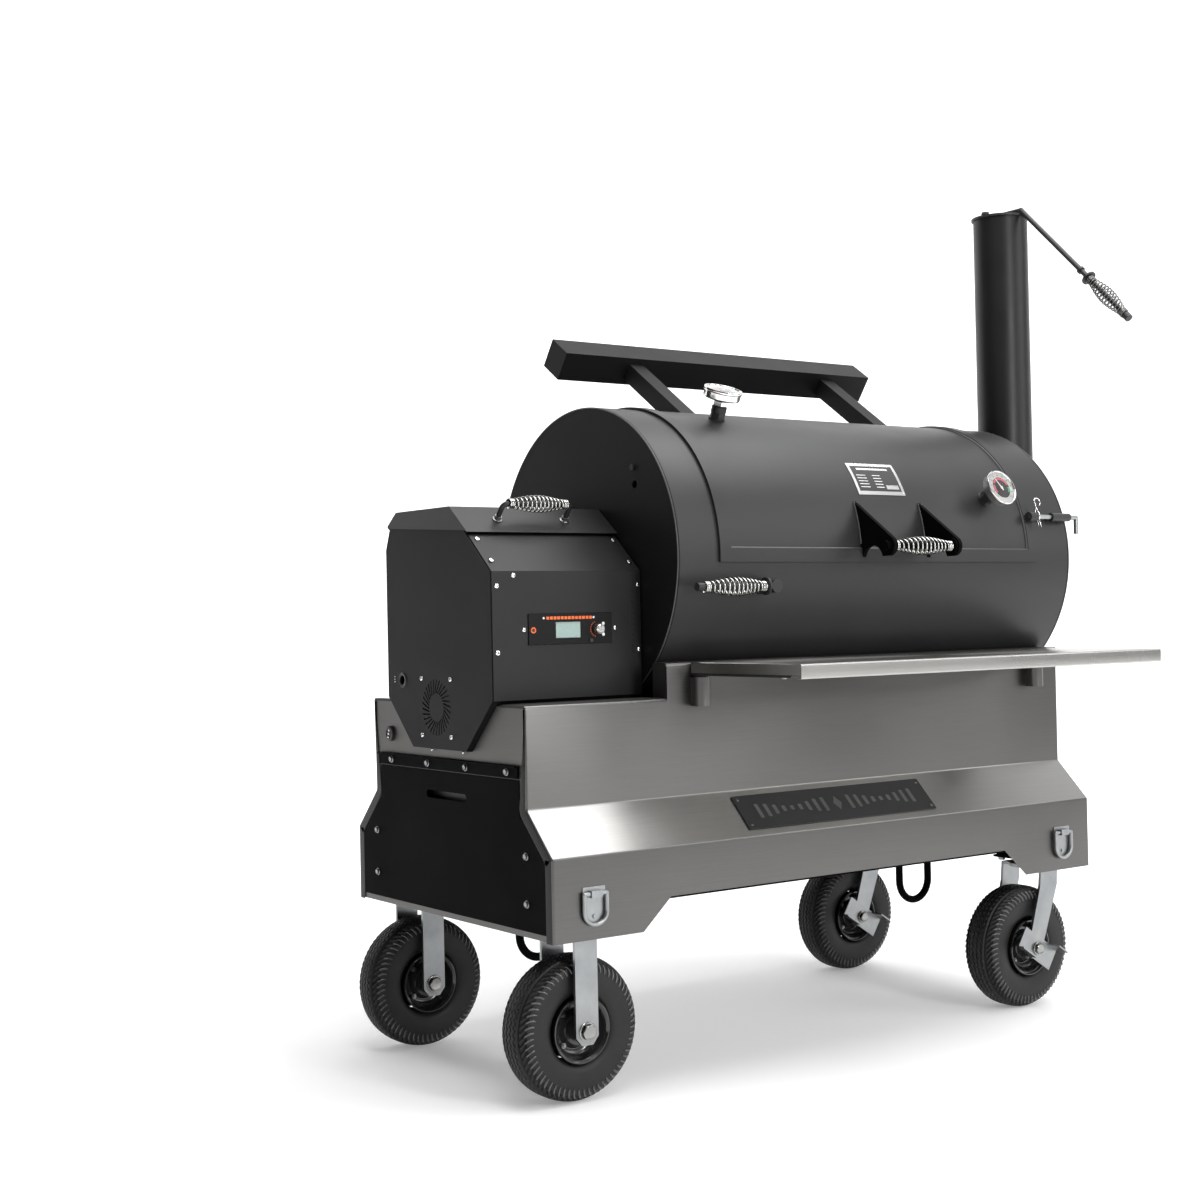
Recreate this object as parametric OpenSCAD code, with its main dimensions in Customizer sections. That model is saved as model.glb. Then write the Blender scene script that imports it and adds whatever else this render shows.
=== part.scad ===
// Barrel smoker on a caster cart, with a pellet hopper, a side stack and a hinged, counterweighted lid.
// Millimetres. +X runs along the barrel to the stack, -Y is the front, +Z is up, the floor is z = 0.

/* [Barrel] */
// Outside diameter of the barrel
barrel_d = 609.6; // [500:0.1:760]
// Length over both end plates
barrel_l = 1097; // [800:1:1400]
// Sheet thickness of shell, lid and end plates
barrel_t = 4.8; // [3:0.1:8]
// Height of the barrel's centre line
barrel_z = 974; // [850:1:1100]

/* [Lid] */
// Left edge of the lid flange, from the barrel's left end
lid_x0 = 98; // [60:1:160]
// Right edge of the lid flange
lid_x1 = 986; // [900:1:1040]
// Width of the flange strip
flange_w = 27; // [18:1:40]
// Lower edge of the lid flange, degrees above the front horizontal
lid_a0 = -2.5; // [-10:0.5:10]
// Rear edge of the lid, degrees round from the front horizontal
lid_a1 = 117; // [100:1:130]
// Angle of the hinge pins
hinge_a = 122; // [115:1:130]
// Distance of the hinge pins from the barrel's centre line
hinge_r = 322; // [315:1:335]

/* [Counterweight] */
// Side of the square counterweight tube
bar_s = 64; // [40:1:80]
// Wall of the counterweight tube
bar_t = 6; // [3:1:10]
// Tilt of the tube and its two arms
bar_tilt = 35; // [20:1:50]
// Side of the square arms
arm_s = 38; // [25:1:50]

/* [Stack] */
// Outside diameter of the stack pipe
stack_d = 127; // [100:1:160]
// Distance of the stack's centre line from the barrel's left end
stack_x = 1243; // [1180:1:1320]
// Height of the stack's mouth
stack_z = 1793; // [1500:1:2000]
// Reach of the cap's rod, measured level
rod_reach = 365; // [250:5:450]

/* [Cart] */
// Left end of the cart, from the barrel's left end
cart_x0 = -329; // [-400:1:-250]
// Right end of the cart
cart_x1 = 1080; // [1000:1:1150]
// Half depth of the cart at the bottom
cart_yb = 355; // [300:1:420]
// Half depth of the cart at the top
cart_yt = 277; // [230:1:340]
// Height of the cart's lower edge
cart_z0 = 297; // [250:1:350]
// Lower bend of the slanted band
cart_z1 = 444; // [400:1:500]
// Upper bend of the slanted band
cart_z2 = 523; // [480:1:600]
// Top edge beside the hopper
cart_z3 = 707; // [650:1:760]
// Top edge beside the barrel
cart_z4 = 773; // [720:1:830]
// Panel thickness
cart_t = 2; // [1.5:0.5:4]
// Height of the long notch in the lower edge
notch_z = 354; // [330:1:400]

/* [Hopper] */
// Depth of the hopper casing
hopper_d = 386; // [300:1:460]
// Height of the casing's front bend
hopper_bend = 947; // [850:1:1000]
// Height of the hopper lid's flat top
hopper_top = 1073; // [1000:1:1150]
// Bottom of the casing
hopper_z0 = 618; // [560:1:680]

/* [Shelf] */
// Shelf left edge
shelf_x0 = 58; // [20:1:120]
// Shelf right edge
shelf_x1 = 1035; // [900:1:1080]
// Front edge of the shelf, in front of the centre line
shelf_y = 588; // [450:1:650]
// Top of the shelf
shelf_z = 772; // [700:1:800]
// Drop of the front lip
shelf_lip = 27; // [15:1:40]

/* [Casters] */
// Tyre diameter
tyre_d = 260; // [200:1:300]
// Tyre width
tyre_w = 86; // [60:1:110]
// Distance of every wheel from the centre line
wheel_y = 268; // [220:1:300]
// Left wheels, rigid forks
wheel_x0 = -240; // [-280:1:-180]
// Right wheels, swivel forks
wheel_x1 = 937; // [880:1:980]
// Offset of the swivel pin from the axle
trail = 48; // [20:1:70]

/* [Hidden] */
$fn = 96;
e = 0.01;
barrel_r = barrel_d / 2;
lid_r = barrel_r + 0.6;
flange_t = 4.8;
cap_d = 136;
lid_over = 3;
hopper_x0 = -340;
hopper_x1 = -4;
hopper_y = 3.5;
hh = hopper_d / 2;
tyre_r = tyre_d / 2;
stack_r = stack_d / 2;
fork_bend = 22;
loop_rod_r = 8;
arm_lift = 12;
elbow_z = barrel_z - 90;
swivel_x = wheel_x1 + trail;
x_min = min(hopper_x0 - lid_over, wheel_x0 - tyre_r);
x_max = stack_x + cap_d / 2;
origin_x = (x_min + x_max) / 2;
origin_y = (cart_yb - shelf_y) / 2;
hinge_y = -hinge_r * cos(hinge_a);
hinge_z = barrel_z + hinge_r * sin(hinge_a);
handle_y = -380;
handle_z = 990;
ear_x0 = 466;
ear_x1 = 657;
bar_y = 235;
bar_z = 1414;
pivot_y = 46;
plate_z = 317;
socket_x = [58, 990];
socket_y = -cart_yt - 17;
ring_x = [-243, 989];
ring_z = 378;
ring_y = -cart_yb - 6.6;
loop_x = [-135, 886];
lever_x = 205;
lever_z = 913;
auger_z = 735;
fan_y = 11;
fan_z = 696;
hop_hinge_y = 181;
hop_hinge_z = 1045;
hop_knuckles = [-290, -92];
latch_a = 15.3;
latch_r = barrel_r + 15.5;

// ---- helpers -------------------------------------------------------------------------------

// moves a part from the barrel's own corner to the shared origin
module placed() translate([-origin_x, -origin_y, 0]) children();

// cylinder along X from x0, length l
module xcyl(x0, l, r, y = 0, z = 0) translate([x0, y, z]) rotate([0, 90, 0]) cylinder(h = l, r = r);
// cylinder along Y from y0, length l
module ycyl(y0, l, r, x = 0, z = 0) translate([x, y0, z]) rotate([-90, 0, 0]) cylinder(h = l, r = r);
// box from a low corner to a high corner
module box(a, b) translate(a) cube(b - a);
// a (y, z) outline stretched along X
module along_x(x0, l) translate([x0, 0, 0]) rotate([90, 0, 90]) linear_extrude(height = l) children();
// an (x, z) outline stretched towards +Y from y0
module along_y(y0, l) translate([0, y0 + l, 0]) rotate([90, 0, 0]) linear_extrude(height = l) children();
// turns children from the front horizontal round the barrel by a degrees, +X outward becomes radial
module round_barrel(a) translate([0, 0, barrel_z]) rotate([-a, 0, 0]) children();

// sector of a tube along X: radii r0..r1, x0..x1, angles a0..a1 from the front horizontal
module sector(r0, r1, x0, x1, a0, a1)
    translate([x0, 0, barrel_z]) rotate([90, 0, 90]) rotate(180 - a1)
        rotate_extrude(angle = a1 - a0) translate([r0, 0]) square([r1 - r0, x1 - x0]);

// bulged coil-grip envelope along X, centred at the origin
module grip_body(l, rm, re) rotate([0, 90, 0]) translate([0, 0, -l / 2]) rotate_extrude()
    polygon([[6.1, 0], [re, 0], [re + (rm - re) * 0.55, l * 0.16], [rm, l * 0.36], [rm, l * 0.64],
        [re + (rm - re) * 0.55, l * 0.84], [re, l], [6.1, l]]);

// ---- cart ----------------------------------------------------------------------------------

module side_outline(top, t) polygon([[-cart_yb, cart_z0], [-cart_yb, cart_z1], [-cart_yt, cart_z2],
    [-cart_yt, top], [-cart_yt + t, top], [-cart_yt + t, cart_z2 - t * 0.41],
    [-cart_yb + t, cart_z1 - t * 0.41], [-cart_yb + t, cart_z0]]);

module end_flange(x, top, w) along_x(x, cart_t) polygon([[-cart_yb + cart_t, cart_z0],
    [-cart_yb + cart_t, cart_z1 - 0.8], [-cart_yt + cart_t, cart_z2 - 0.8], [-cart_yt + cart_t, top],
    [-cart_yt + w, top], [-cart_yt + w, cart_z2 - w * 0.41], [-cart_yb + w, cart_z1 - w * 0.41],
    [-cart_yb + w, cart_z0]]);

module side_panel() {
    step = -13;
    difference() {
        union() {
            along_x(cart_x0, step - cart_x0) side_outline(cart_z3, cart_t);
            along_x(step, cart_x1 - step) side_outline(cart_z4, cart_t);
            end_flange(cart_x0, cart_z3, 22);
            end_flange(cart_x1 - cart_t, cart_z4, 22);
            // folded deck beside the hopper, step riser and top flange beside the barrel
            box([cart_x0, -cart_yt + e, cart_z3 - cart_t], [step, -hh - 6, cart_z3]);
            box([step, -cart_yt + e, cart_z3 - cart_t], [step + cart_t, -236, cart_z4]);
            box([step, -cart_yt + e, cart_z4 - cart_t], [cart_x1, -236, cart_z4]);
        }
        // long notch in the lower edge
        along_y(-cart_yb - 5, 60) polygon([[-135, cart_z0 - 1], [-71, notch_z], [811, notch_z],
            [875, cart_z0 - 1]]);
    }
}

module cart_front_panel() color("silver") placed() side_panel();
module cart_back_panel() color("silver") placed() mirror([0, 1, 0]) side_panel();

module hopper_outline(g) polygon([[-98 - 0.41 * g, hopper_z0 - g], [98 + 0.41 * g, hopper_z0 - g],
    [hh + g, 713 - 0.41 * g], [hh + g, 1001 + 0.2 * g], [176 + 0.9 * g, 1042 + 0.6 * g],
    [158 + 0.3 * g, 1056 + g], [-64 - 0.3 * g, 1056 + g], [-112 - 0.7 * g, 1019 + 0.7 * g],
    [-hh - g, hopper_bend + 0.4 * g],
    [-hh - g, 713 - 0.41 * g]]);

module cart_left_frame() color("silver") placed() difference() {
    along_x(cart_x0 + cart_t, cart_t) polygon([[-352, cart_z0 + 2], [-352, 443], [-274, 521],
        [-274, cart_z3 - 3], [274, cart_z3 - 3], [274, 521], [352, 443], [352, cart_z0 + 2]]);
    translate([0, hopper_y, 0]) along_x(cart_x0 - 5, 20) hopper_outline(1.5);
    box([cart_x0 - 5, -190, 380], [cart_x0 + 15, 190, 560]);
    for (y = [-274, 274], z = [358, 442]) xcyl(cart_x0 - 5, 12, 3.2, y, z);
    for (y = [-219, -78, 63, 204]) xcyl(cart_x0 - 6, 12, 3.2, y, 588);
    xcyl(cart_x0 - 6, 20, 11.1, 212, 638);
}

module access_panel() color("dimgray") placed() difference() {
    along_x(cart_x0, cart_t) polygon([[-332, 310], [-332, 434], [-254, 512], [-254, 575], [254, 575],
        [254, 512], [332, 434], [332, 310]]);
    box([cart_x0 - 5, -66, 522], [cart_x0 + 5, 66, 537]);
    for (y = [-66, 66]) xcyl(cart_x0 - 5, 10, 7.5, y, 529.5);
    for (y = [-274, 274], z = [358, 442]) xcyl(cart_x0 - 5, 10, 3.2, y, z);
}

module panel_strip() color("dimgray") placed() difference() {
    union() {
        box([cart_x0 - 3, -254, 577], [cart_x0 + cart_t, 254, 600]);
        box([cart_x0 - 9, -254, 597], [cart_x0 + cart_t, 254, 600]);
    }
    for (y = [-219, -78, 63, 204]) xcyl(cart_x0 - 6, 12, 3.2, y, 588);
}

module cart_right_panel() color("dimgray") placed() difference() {
    along_x(cart_x1 - 5, 3) polygon([[-352, cart_z0 + 2], [-352, 443], [-274, 521], [-274, cart_z4 - 3],
        [274, cart_z4 - 3], [274, 521], [352, 443], [352, cart_z0 + 2]]);
    translate([0, 0, barrel_z]) xcyl(cart_x1 - 20, 40, barrel_r + 3);
}

module cart_underframe() color("dimgray") placed() difference() {
    union() {
        box([cart_x0 + 5, -352, 350], [cart_x1 - 6, 352, 353]);
        for (x = [wheel_x0, swivel_x]) box([x - 44, -345, plate_z + 5], [x + 44, 345, 350 + e]);
        // top plates and kingpins of the two swivel casters
        for (s = [-1, 1]) translate([swivel_x, s * wheel_y, 0]) {
            box([-57, -51, plate_z], [57, 51, plate_z + 5 + e]);
            translate([0, 0, 304.4]) cylinder(h = 13, r = 30);
            translate([0, 0, 292]) cylinder(h = 15, r = 10);
            translate([0, 0, 287]) cylinder(h = 5 + e, r = 15, $fn = 6);
        }
    }
    for (x = [wheel_x0, swivel_x]) box([x - 40, -350, plate_z + 9], [x + 40, -wheel_y - 60, 346]);
}

module hopper_stand() color("dimgray") placed()
    along_y(-90, 190) polygon([[-310, 353], [-310, 617.9], [-40, 617.9], [-40, 353], [-44, 353],
        [-44, 613.9], [-306, 613.9], [-306, 353]]);

module barrel_saddles() color("dimgray") placed() for (x = [150, 940]) difference() {
    box([x, -190, 353], [x + 6, 190, 800]);
    translate([0, 0, barrel_z]) xcyl(x - 5, 20, barrel_r + 0.1);
    for (y = [-95, 95]) xcyl(x - 5, 20, 55, y, 480);
}

module panel_bolts() color("gainsboro") placed() {
    // access panel and strip bolts, then nameplate and hopper screws
    for (y = [-274, 274], z = [358, 442]) {
        xcyl(cart_x0 - 4, 4, 6.5, y, z);
        xcyl(cart_x0 - 4, 14, 3, y, z);
    }
    for (y = [-219, -78, 63, 204]) {
        xcyl(cart_x0 - 7, 4, 6.5, y, 588);
        xcyl(cart_x0 - 7, 17, 3, y, 588);
    }
    for (z = [800, 921], x = [-328, -10]) ycyl(-hh + hopper_y - 4.7, 2.5, 4, x, z);
    for (y = [fan_y - 53.5, fan_y + 54.5], z = [fan_z - 54, fan_z + 54]) xcyl(hopper_x0 - 3, 3, 4.5, y, z);
    for (x = [-271, -66]) ycyl(-hh + hopper_y - 4.7, 2.5, 3.5, x, 840);
}

module nameplate() color("dimgray") placed() translate([374, -cart_yb + 39 - 0.71 * 0.1, 0])
    translate([0, 0, 483.5]) rotate([45.36, 0, 0]) translate([-248, -40, 0]) difference() {
        cube([496, 80, 3]);
        for (x = [10, 486], y = [10, 70]) translate([x, y, -1]) cylinder(h = 6, r = 2.2);
    }

module d_ring_plates() color("gainsboro") placed() for (x = ring_x) {
    box([x - 24, -cart_yb - 2, ring_z - 30], [x + 24, -cart_yb, ring_z + 12]);
    ycyl(-cart_yb - 2, 2, 24, x, ring_z - 30);
    // strap that holds the ring
    difference() {
        box([x - 12, -cart_yb - 12.6, ring_z - 6], [x + 12, -cart_yb - 1, ring_z + 6]);
        xcyl(x - 13, 26, 4.1, ring_y, ring_z);
    }
    ycyl(-cart_yb - 4, 4, 4, x, ring_z - 40);
}

module d_ring(x) color("gainsboro") placed() translate([x, ring_y, ring_z]) {
    xcyl(-24, 48, 4);
    for (s = [-1, 1]) translate([s * 24, 0, 0]) {
        sphere(r = 4);
        translate([0, 0, -30]) cylinder(h = 30, r = 4);
    }
    translate([0, 0, -30]) rotate([90, 0, 0]) rotate(180)
        rotate_extrude(angle = 180) translate([24, 0]) circle(r = 4);
}
module d_ring_left() d_ring(ring_x[0]);
module d_ring_right() d_ring(ring_x[1]);

module tie_down_loops() color("dimgray") placed() for (x = loop_x) translate([x, -15, 0]) {
    for (s = [-1, 1]) translate([s * 45, 0, 249]) cylinder(h = 101, r = loop_rod_r);
    translate([0, 0, 249]) rotate([90, 0, 0]) rotate(180)
        rotate_extrude(angle = 180) translate([45, 0]) circle(r = loop_rod_r);
}

module shelf_sockets() color("silver") placed() for (x = socket_x) difference() {
    union() {
        translate([x, socket_y, 690]) cylinder(h = 54, r = 16);
        box([x - 12, socket_y, 690], [x + 12, -cart_yt, 744]);
    }
    translate([x, socket_y, 689]) cylinder(h = 56, r = 13.05);
}

// ---- shelf ---------------------------------------------------------------------------------

module shelf() color("silver") placed() {
    box([shelf_x0, -shelf_y, shelf_z - 2], [shelf_x1, -cart_yt - 1.5, shelf_z]);
    box([shelf_x0, -shelf_y, shelf_z - shelf_lip], [shelf_x1, -shelf_y + 2, shelf_z]);
    box([shelf_x0, -shelf_y, shelf_z - shelf_lip], [shelf_x1, -shelf_y + 14, shelf_z - shelf_lip + 2]);
    for (x = [shelf_x0, shelf_x1 - 2])
        box([x, -shelf_y, shelf_z - 20], [x + 2, -cart_yt - 1.5, shelf_z]);
    for (x = socket_x) {
        box([x - 12, -shelf_y + 14 - e, shelf_z - 27], [x + 12, socket_y + 13, shelf_z - 2 + e]);
        translate([x, socket_y, 696]) cylinder(h = 50, r = 13);
    }
}

// ---- barrel --------------------------------------------------------------------------------

module barrel_shell() color("dimgray") placed() difference() {
    union() {
        difference() {
            translate([0, 0, barrel_z]) xcyl(barrel_t, barrel_l - 2 * barrel_t, barrel_r);
            translate([0, 0, barrel_z]) xcyl(0, barrel_l, barrel_r - barrel_t);
            sector(barrel_r - 30, barrel_r + 30, lid_x0 + 14, lid_x1 - 14, 0, lid_a1 + 2.2);
        }
        // ledges that carry the grates
        for (s = [-1, 1]) intersection() {
            box([30, s > 0 ? 262 : -310, 944], [barrel_l - 30, s > 0 ? 310 : -262, 948]);
            translate([0, 0, barrel_z]) xcyl(0, barrel_l, barrel_r - 2);
        }
    }
    ycyl(-barrel_r - 10, 60, 7.05, lever_x, lever_z);
}

module barrel_end_plates() color("dimgray") placed() {
    difference() {
        translate([0, 0, barrel_z]) xcyl(0, barrel_t, barrel_r);
        xcyl(-1, 10, 34, 0, auger_z);
        xcyl(-1, 10, 8, -174, 1114);
    }
    difference() {
        translate([0, 0, barrel_z]) xcyl(barrel_l - barrel_t, barrel_t, barrel_r);
        xcyl(barrel_l - 8, 10, stack_r - 6, 0, elbow_z);
    }
}

// straight-sided hinge lug, stands on the barrel round one hinge pin
module lug(x) difference() {
    union() {
        xcyl(x, 8, 13, hinge_y, hinge_z);
        translate([0, hinge_y, hinge_z]) rotate([-(hinge_a - 90), 0, 0]) box([x, -11, -30], [x + 8, 12, 0]);
    }
    translate([0, 0, barrel_z]) xcyl(x - 1, 10, barrel_r - 0.02);
}

module barrel_fittings() color("dimgray") placed() {
    for (x = [230, 830]) {
        lug(x);
        lug(x + 44);
        xcyl(x - 5, 62, 6, hinge_y, hinge_z);
    }
    // bush of the damper lever
    difference() {
        ycyl(-barrel_r - 10, 34, 15, lever_x, lever_z);
        ycyl(-barrel_r - 11, 40, 7.05, lever_x, lever_z);
        translate([0, 0, barrel_z]) xcyl(0, barrel_l, barrel_r - e);
    }
    // tube that guides the latch pin
    difference() {
        round_barrel(latch_a) union() {
            xcyl(1034, 58, 9, -latch_r, 0);
            box([1034, -latch_r, -5], [1092, -barrel_r + 4, 5]);
        }
        round_barrel(latch_a) xcyl(1033, 60, 5.05, -latch_r, 0);
        translate([0, 0, barrel_z]) xcyl(0, barrel_l, barrel_r - e);
    }
    // plug bolt beside the probe port
    xcyl(-4, 4, 6, -170, 1147);
}

module stack_pipe() color("dimgray") placed() difference() {
    union() {
        translate([stack_x, 0, elbow_z - stack_r]) cylinder(h = stack_z - elbow_z + stack_r, r = stack_r);
        xcyl(barrel_l, stack_x - barrel_l, stack_r - 3, 0, elbow_z);
    }
    difference() {
        union() {
            translate([stack_x, 0, elbow_z - stack_r + 3])
                cylinder(h = stack_z - elbow_z + 200, r = stack_r - 3);
            xcyl(barrel_l - 1, stack_x - barrel_l, stack_r - 6, 0, elbow_z);
        }
        // threaded boss for the cap's pivot bolt
        translate([stack_x, pivot_y + 4, stack_z - 40]) cylinder(h = 39.9, r = 11.6);
    }
    translate([stack_x, pivot_y, stack_z - 30]) cylinder(h = 40, r = 5.05);
}

// ---- stack cap -----------------------------------------------------------------------------

rod_r = 6;
bend_y = -66;
rod_z = stack_z + 12.5;

module stack_cap() color("dimgray") placed() translate([stack_x, 0, 0]) {
    translate([0, 0, stack_z + 0.5]) cylinder(h = 5, r = cap_d / 2);
    // pivot bolt
    translate([0, pivot_y, stack_z - 28]) cylinder(h = 50, r = 5);
    translate([0, pivot_y, stack_z + 5]) cylinder(h = 17, r = 11);
    translate([0, pivot_y, stack_z + 22 - e]) cylinder(h = 8, r = 9, $fn = 6);
    // level part, then 45 degrees down to the front
    ycyl(bend_y, pivot_y - bend_y, rod_r, 0, rod_z);
    translate([0, bend_y, rod_z]) sphere(r = rod_r + 0.5);
    translate([0, bend_y, rod_z]) rotate([135, 0, 0]) {
        cylinder(h = (rod_reach + bend_y) * 1.4142, r = rod_r);
        translate([0, 0, 240]) cylinder(h = 6, r = 9);
        translate([0, 0, 272]) cylinder(h = 4, r = 17);
        translate([0, 0, 414]) cylinder(h = 14, r = 9);
    }
}

module stack_cap_grip() color("gainsboro") placed()
    translate([stack_x, bend_y, rod_z]) rotate([135, 0, 0]) translate([0, 0, 345]) rotate([0, 90, 0])
        grip_body(138, 19, 10);

// ---- lid -----------------------------------------------------------------------------------

module lid_panel() color("dimgray") placed() difference() {
    sector(lid_r - barrel_t, lid_r, lid_x0 + 16, lid_x1 - 16, 0.4, lid_a1);
    // stem holes of the two thermometers
    round_barrel(68) translate([256, 0, 0]) rotate([90, 0, 0]) cylinder(h = 400, r = 8);
    round_barrel(23.5) translate([855, 0, 0]) rotate([90, 0, 0]) cylinder(h = 400, r = 8);
}

module lid_flange() color("dimgray") placed() {
    r0 = lid_r;
    r1 = lid_r + flange_t;
    difference() {
        sector(r0, r1, lid_x0, lid_x1, lid_a0, lid_a1 - 1);
        sector(r0 - 5, r1 + 5, lid_x0 + flange_w, lid_x1 - flange_w, lid_a0 + 4.9, lid_a1 + 5);
    }
    // straps with the hinge knuckles
    for (x = [240, 840]) difference() {
        union() {
            xcyl(x, 32, 12, hinge_y, hinge_z);
            translate([0, hinge_y, hinge_z]) rotate([-(hinge_a - 90), 0, 0]) {
                box([x, -62, -14], [x + 32, 0, -7]);
                box([x, -62, -30], [x + 32, -31, -13]);
            }
        }
        xcyl(x - 1, 34, 6.05, hinge_y, hinge_z);
        translate([0, 0, barrel_z]) xcyl(x - 1, 34, lid_r);
    }
    // hasp tube for the latch pin
    difference() {
        round_barrel(latch_a) union() {
            xcyl(962, 22, 10.3, -latch_r, 0);
            box([962, -latch_r, -6], [984, -barrel_r + 4, 6]);
        }
        round_barrel(latch_a) xcyl(961, 24, 6.5, -latch_r, 0);
        translate([0, 0, barrel_z]) xcyl(900, 100, lid_r + flange_t + 0.05);
    }
}

// tangent point of a line from point p to a circle round c
function tangent(p, c, r) = let (d = p - c, l = norm(d), a = atan2(d[1], d[0]) + acos(r / l))
    c + r * [cos(a), sin(a)];

module lid_handle_ears() color("dimgray") placed() {
    c = [handle_y, handle_z];
    p = [-276, 1090];
    for (x = [ear_x0, ear_x1 - 9]) difference() {
        along_x(x, 9) union() {
            polygon([p, tangent(p, c, 20), c, [handle_y, handle_z - 20], [-290, handle_z - 20], [-270, 1000]]);
            translate(c) circle(r = 20);
        }
        translate([0, 0, barrel_z]) xcyl(x - 1, 12, lid_r);
        // room for the flange they are welded over
        sector(lid_r - 5, lid_r + flange_t + e, x - 1, x + 10, lid_a0 - 1, lid_a0 + 5);
        // arch in the lower edge
        xcyl(x - 1, 12, 28, handle_y + 42, handle_z - 26);
    }
    xcyl(ear_x0 - 4, ear_x1 - ear_x0 + 8, 6, handle_y, handle_z);
    for (x = [ear_x0 - 8, ear_x1]) xcyl(x, 8, 11, handle_y, handle_z, $fn = 6);
    for (x = [ear_x0 + 9, ear_x1 - 13]) xcyl(x, 4, 17, handle_y, handle_z);
}

module lid_handle_grip() color("gainsboro") placed()
    translate([(ear_x0 + ear_x1) / 2, handle_y, handle_z]) grip_body(ear_x1 - ear_x0 - 26, 19, 11);

module counterweight() color("dimgray") placed() difference() {
    translate([0, bar_y, bar_z]) rotate([bar_tilt, 0, 0]) {
        difference() {
            box([100, -bar_s / 2, -bar_s / 2], [981, bar_s / 2, bar_s / 2]);
            box([104, -bar_s / 2 + bar_t, -bar_s / 2 + bar_t], [977, bar_s / 2 - bar_t, bar_s / 2 - bar_t]);
        }
        for (x = [289, 849]) difference() {
            box([x - arm_s / 2, -290, arm_lift - bar_s / 2],
                [x + arm_s / 2, -bar_s / 2 + e, arm_lift - bar_s / 2 + arm_s]);
            box([x - arm_s / 2 + 3, -291, arm_lift - bar_s / 2 + 3],
                [x + arm_s / 2 - 3, -bar_s / 2 - 1, arm_lift - bar_s / 2 + arm_s - 3]);
        }
    }
    translate([0, 0, barrel_z]) xcyl(0, barrel_l, lid_r);
}

module dial(x, a, stem) round_barrel(a) translate([x, -lid_r - stem, 0]) rotate([90, 0, 0]) {
    cylinder(h = 12, r = 39);
    translate([0, 0, 12 - e]) difference() {
        cylinder(h = 4, r = 40);
        translate([0, 0, -1]) cylinder(h = 6, r = 36);
    }
    translate([0, 0, -stem - 70]) cylinder(h = stem + 71, r = 3.5);
    translate([0, 0, -stem]) cylinder(h = stem + e, r = 6.5);
    translate([0, 0, -stem]) cylinder(h = 9, r = 12, $fn = 6);
}
module lid_thermometers() color("gainsboro") placed() {
    dial(256, 68, 48);
    dial(855, 23.5, 38);
}

module rating_plate() color("gainsboro") placed() sector(lid_r, lid_r + 1.2, 489, 621, 24, 38.7);

// ---- damper lever --------------------------------------------------------------------------

module damper_lever() color("dimgray") placed() {
    ycyl(-340, 110, 7, lever_x, lever_z);
    ycyl(-348, 26, 13, lever_x, lever_z);
    xcyl(24, lever_x - 24, 6, -334, lever_z);
    xcyl(186, 4, 17, -334, lever_z);
    xcyl(20, 14, 8, -334, lever_z);
    // plate inside the barrel that opens or closes the draught
    translate([lever_x, -238, lever_z]) box([-28, 0, -16], [28, 3, 16]);
}
module damper_grip() color("gainsboro") placed() translate([110, -334, lever_z]) grip_body(151.9, 19, 10);

// ---- hopper --------------------------------------------------------------------------------

module hopper_walls(t) difference() {
    hopper_outline(0);
    hopper_outline(-t);
}

module hopper_casing() color("dimgray") placed() translate([0, hopper_y, 0]) {
    difference() {
        union() {
            along_x(hopper_x0 + 2 - e, hopper_x1 - hopper_x0 - 4 + 2 * e) hopper_walls(2);
            along_x(hopper_x0, 2) hopper_outline(0);
            along_x(hopper_x1 - 2, 2) hopper_outline(0);
        }
        // mouth under the lid, and the front, which the cover closes
        box([hopper_x0 + 12, -96, 1030], [hopper_x1 - 12, 150, 1070]);
        box([hopper_x0 + 20, -hh - 5, 735], [hopper_x1 - 20, -hh + 10, 930]);
        // fan grille
        translate([hopper_x0 - 1, fan_y - hopper_y, fan_z]) for (i = [0:29]) rotate([i * 12, 0, 0])
            translate([0, 0, 27]) rotate([30, 0, 0]) translate([0, -1.5, 0]) cube([5, 3, 28]);
        xcyl(hopper_x0 - 1, 5, 9, 135, 746);
        xcyl(hopper_x1 - 5, 10, 34, -hopper_y, auger_z);
        // outlet slot in the right wall for cooling air
        for (i = [0:4]) box([hopper_x1 - 5, -160 + i * 14, 760], [hopper_x1 + 5, -154 + i * 14, 820]);
    }
    // fan ring with its cross bar and pin
    translate([0, fan_y - hopper_y, fan_z]) {
        difference() {
            xcyl(hopper_x0 + 1, 35, 60);
            xcyl(hopper_x0 + 1, 36, 57);
        }
        box([hopper_x0 + 32, -58, -6], [hopper_x0 + 36, 58, 6]);
        xcyl(hopper_x0 + 8, 26, 3);
    }
    // fixed hinge knuckles of the hopper lid
    for (x = hop_knuckles) {
        xcyl(x, 40, 4.5, hop_hinge_y, hop_hinge_z);
        box([x, 172, 1030], [x + 40, hop_hinge_y, 1042]);
    }
}

module hopper_front_cover() color("dimgray") placed() translate([0, hopper_y, 0]) difference() {
    along_x(hopper_x0 + 2, hopper_x1 - hopper_x0 - 3) polygon([[-hh - 0.2, 713], [-hh - 0.2, hopper_bend],
        [-115, 1016.6], [-116.4, 1018], [-hh - 2.2, hopper_bend + 0.9], [-hh - 2.2, 713]]);
    box([-262, -hh - 5, 812], [-74, -hh + 5, 869.5]);
}

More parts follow.
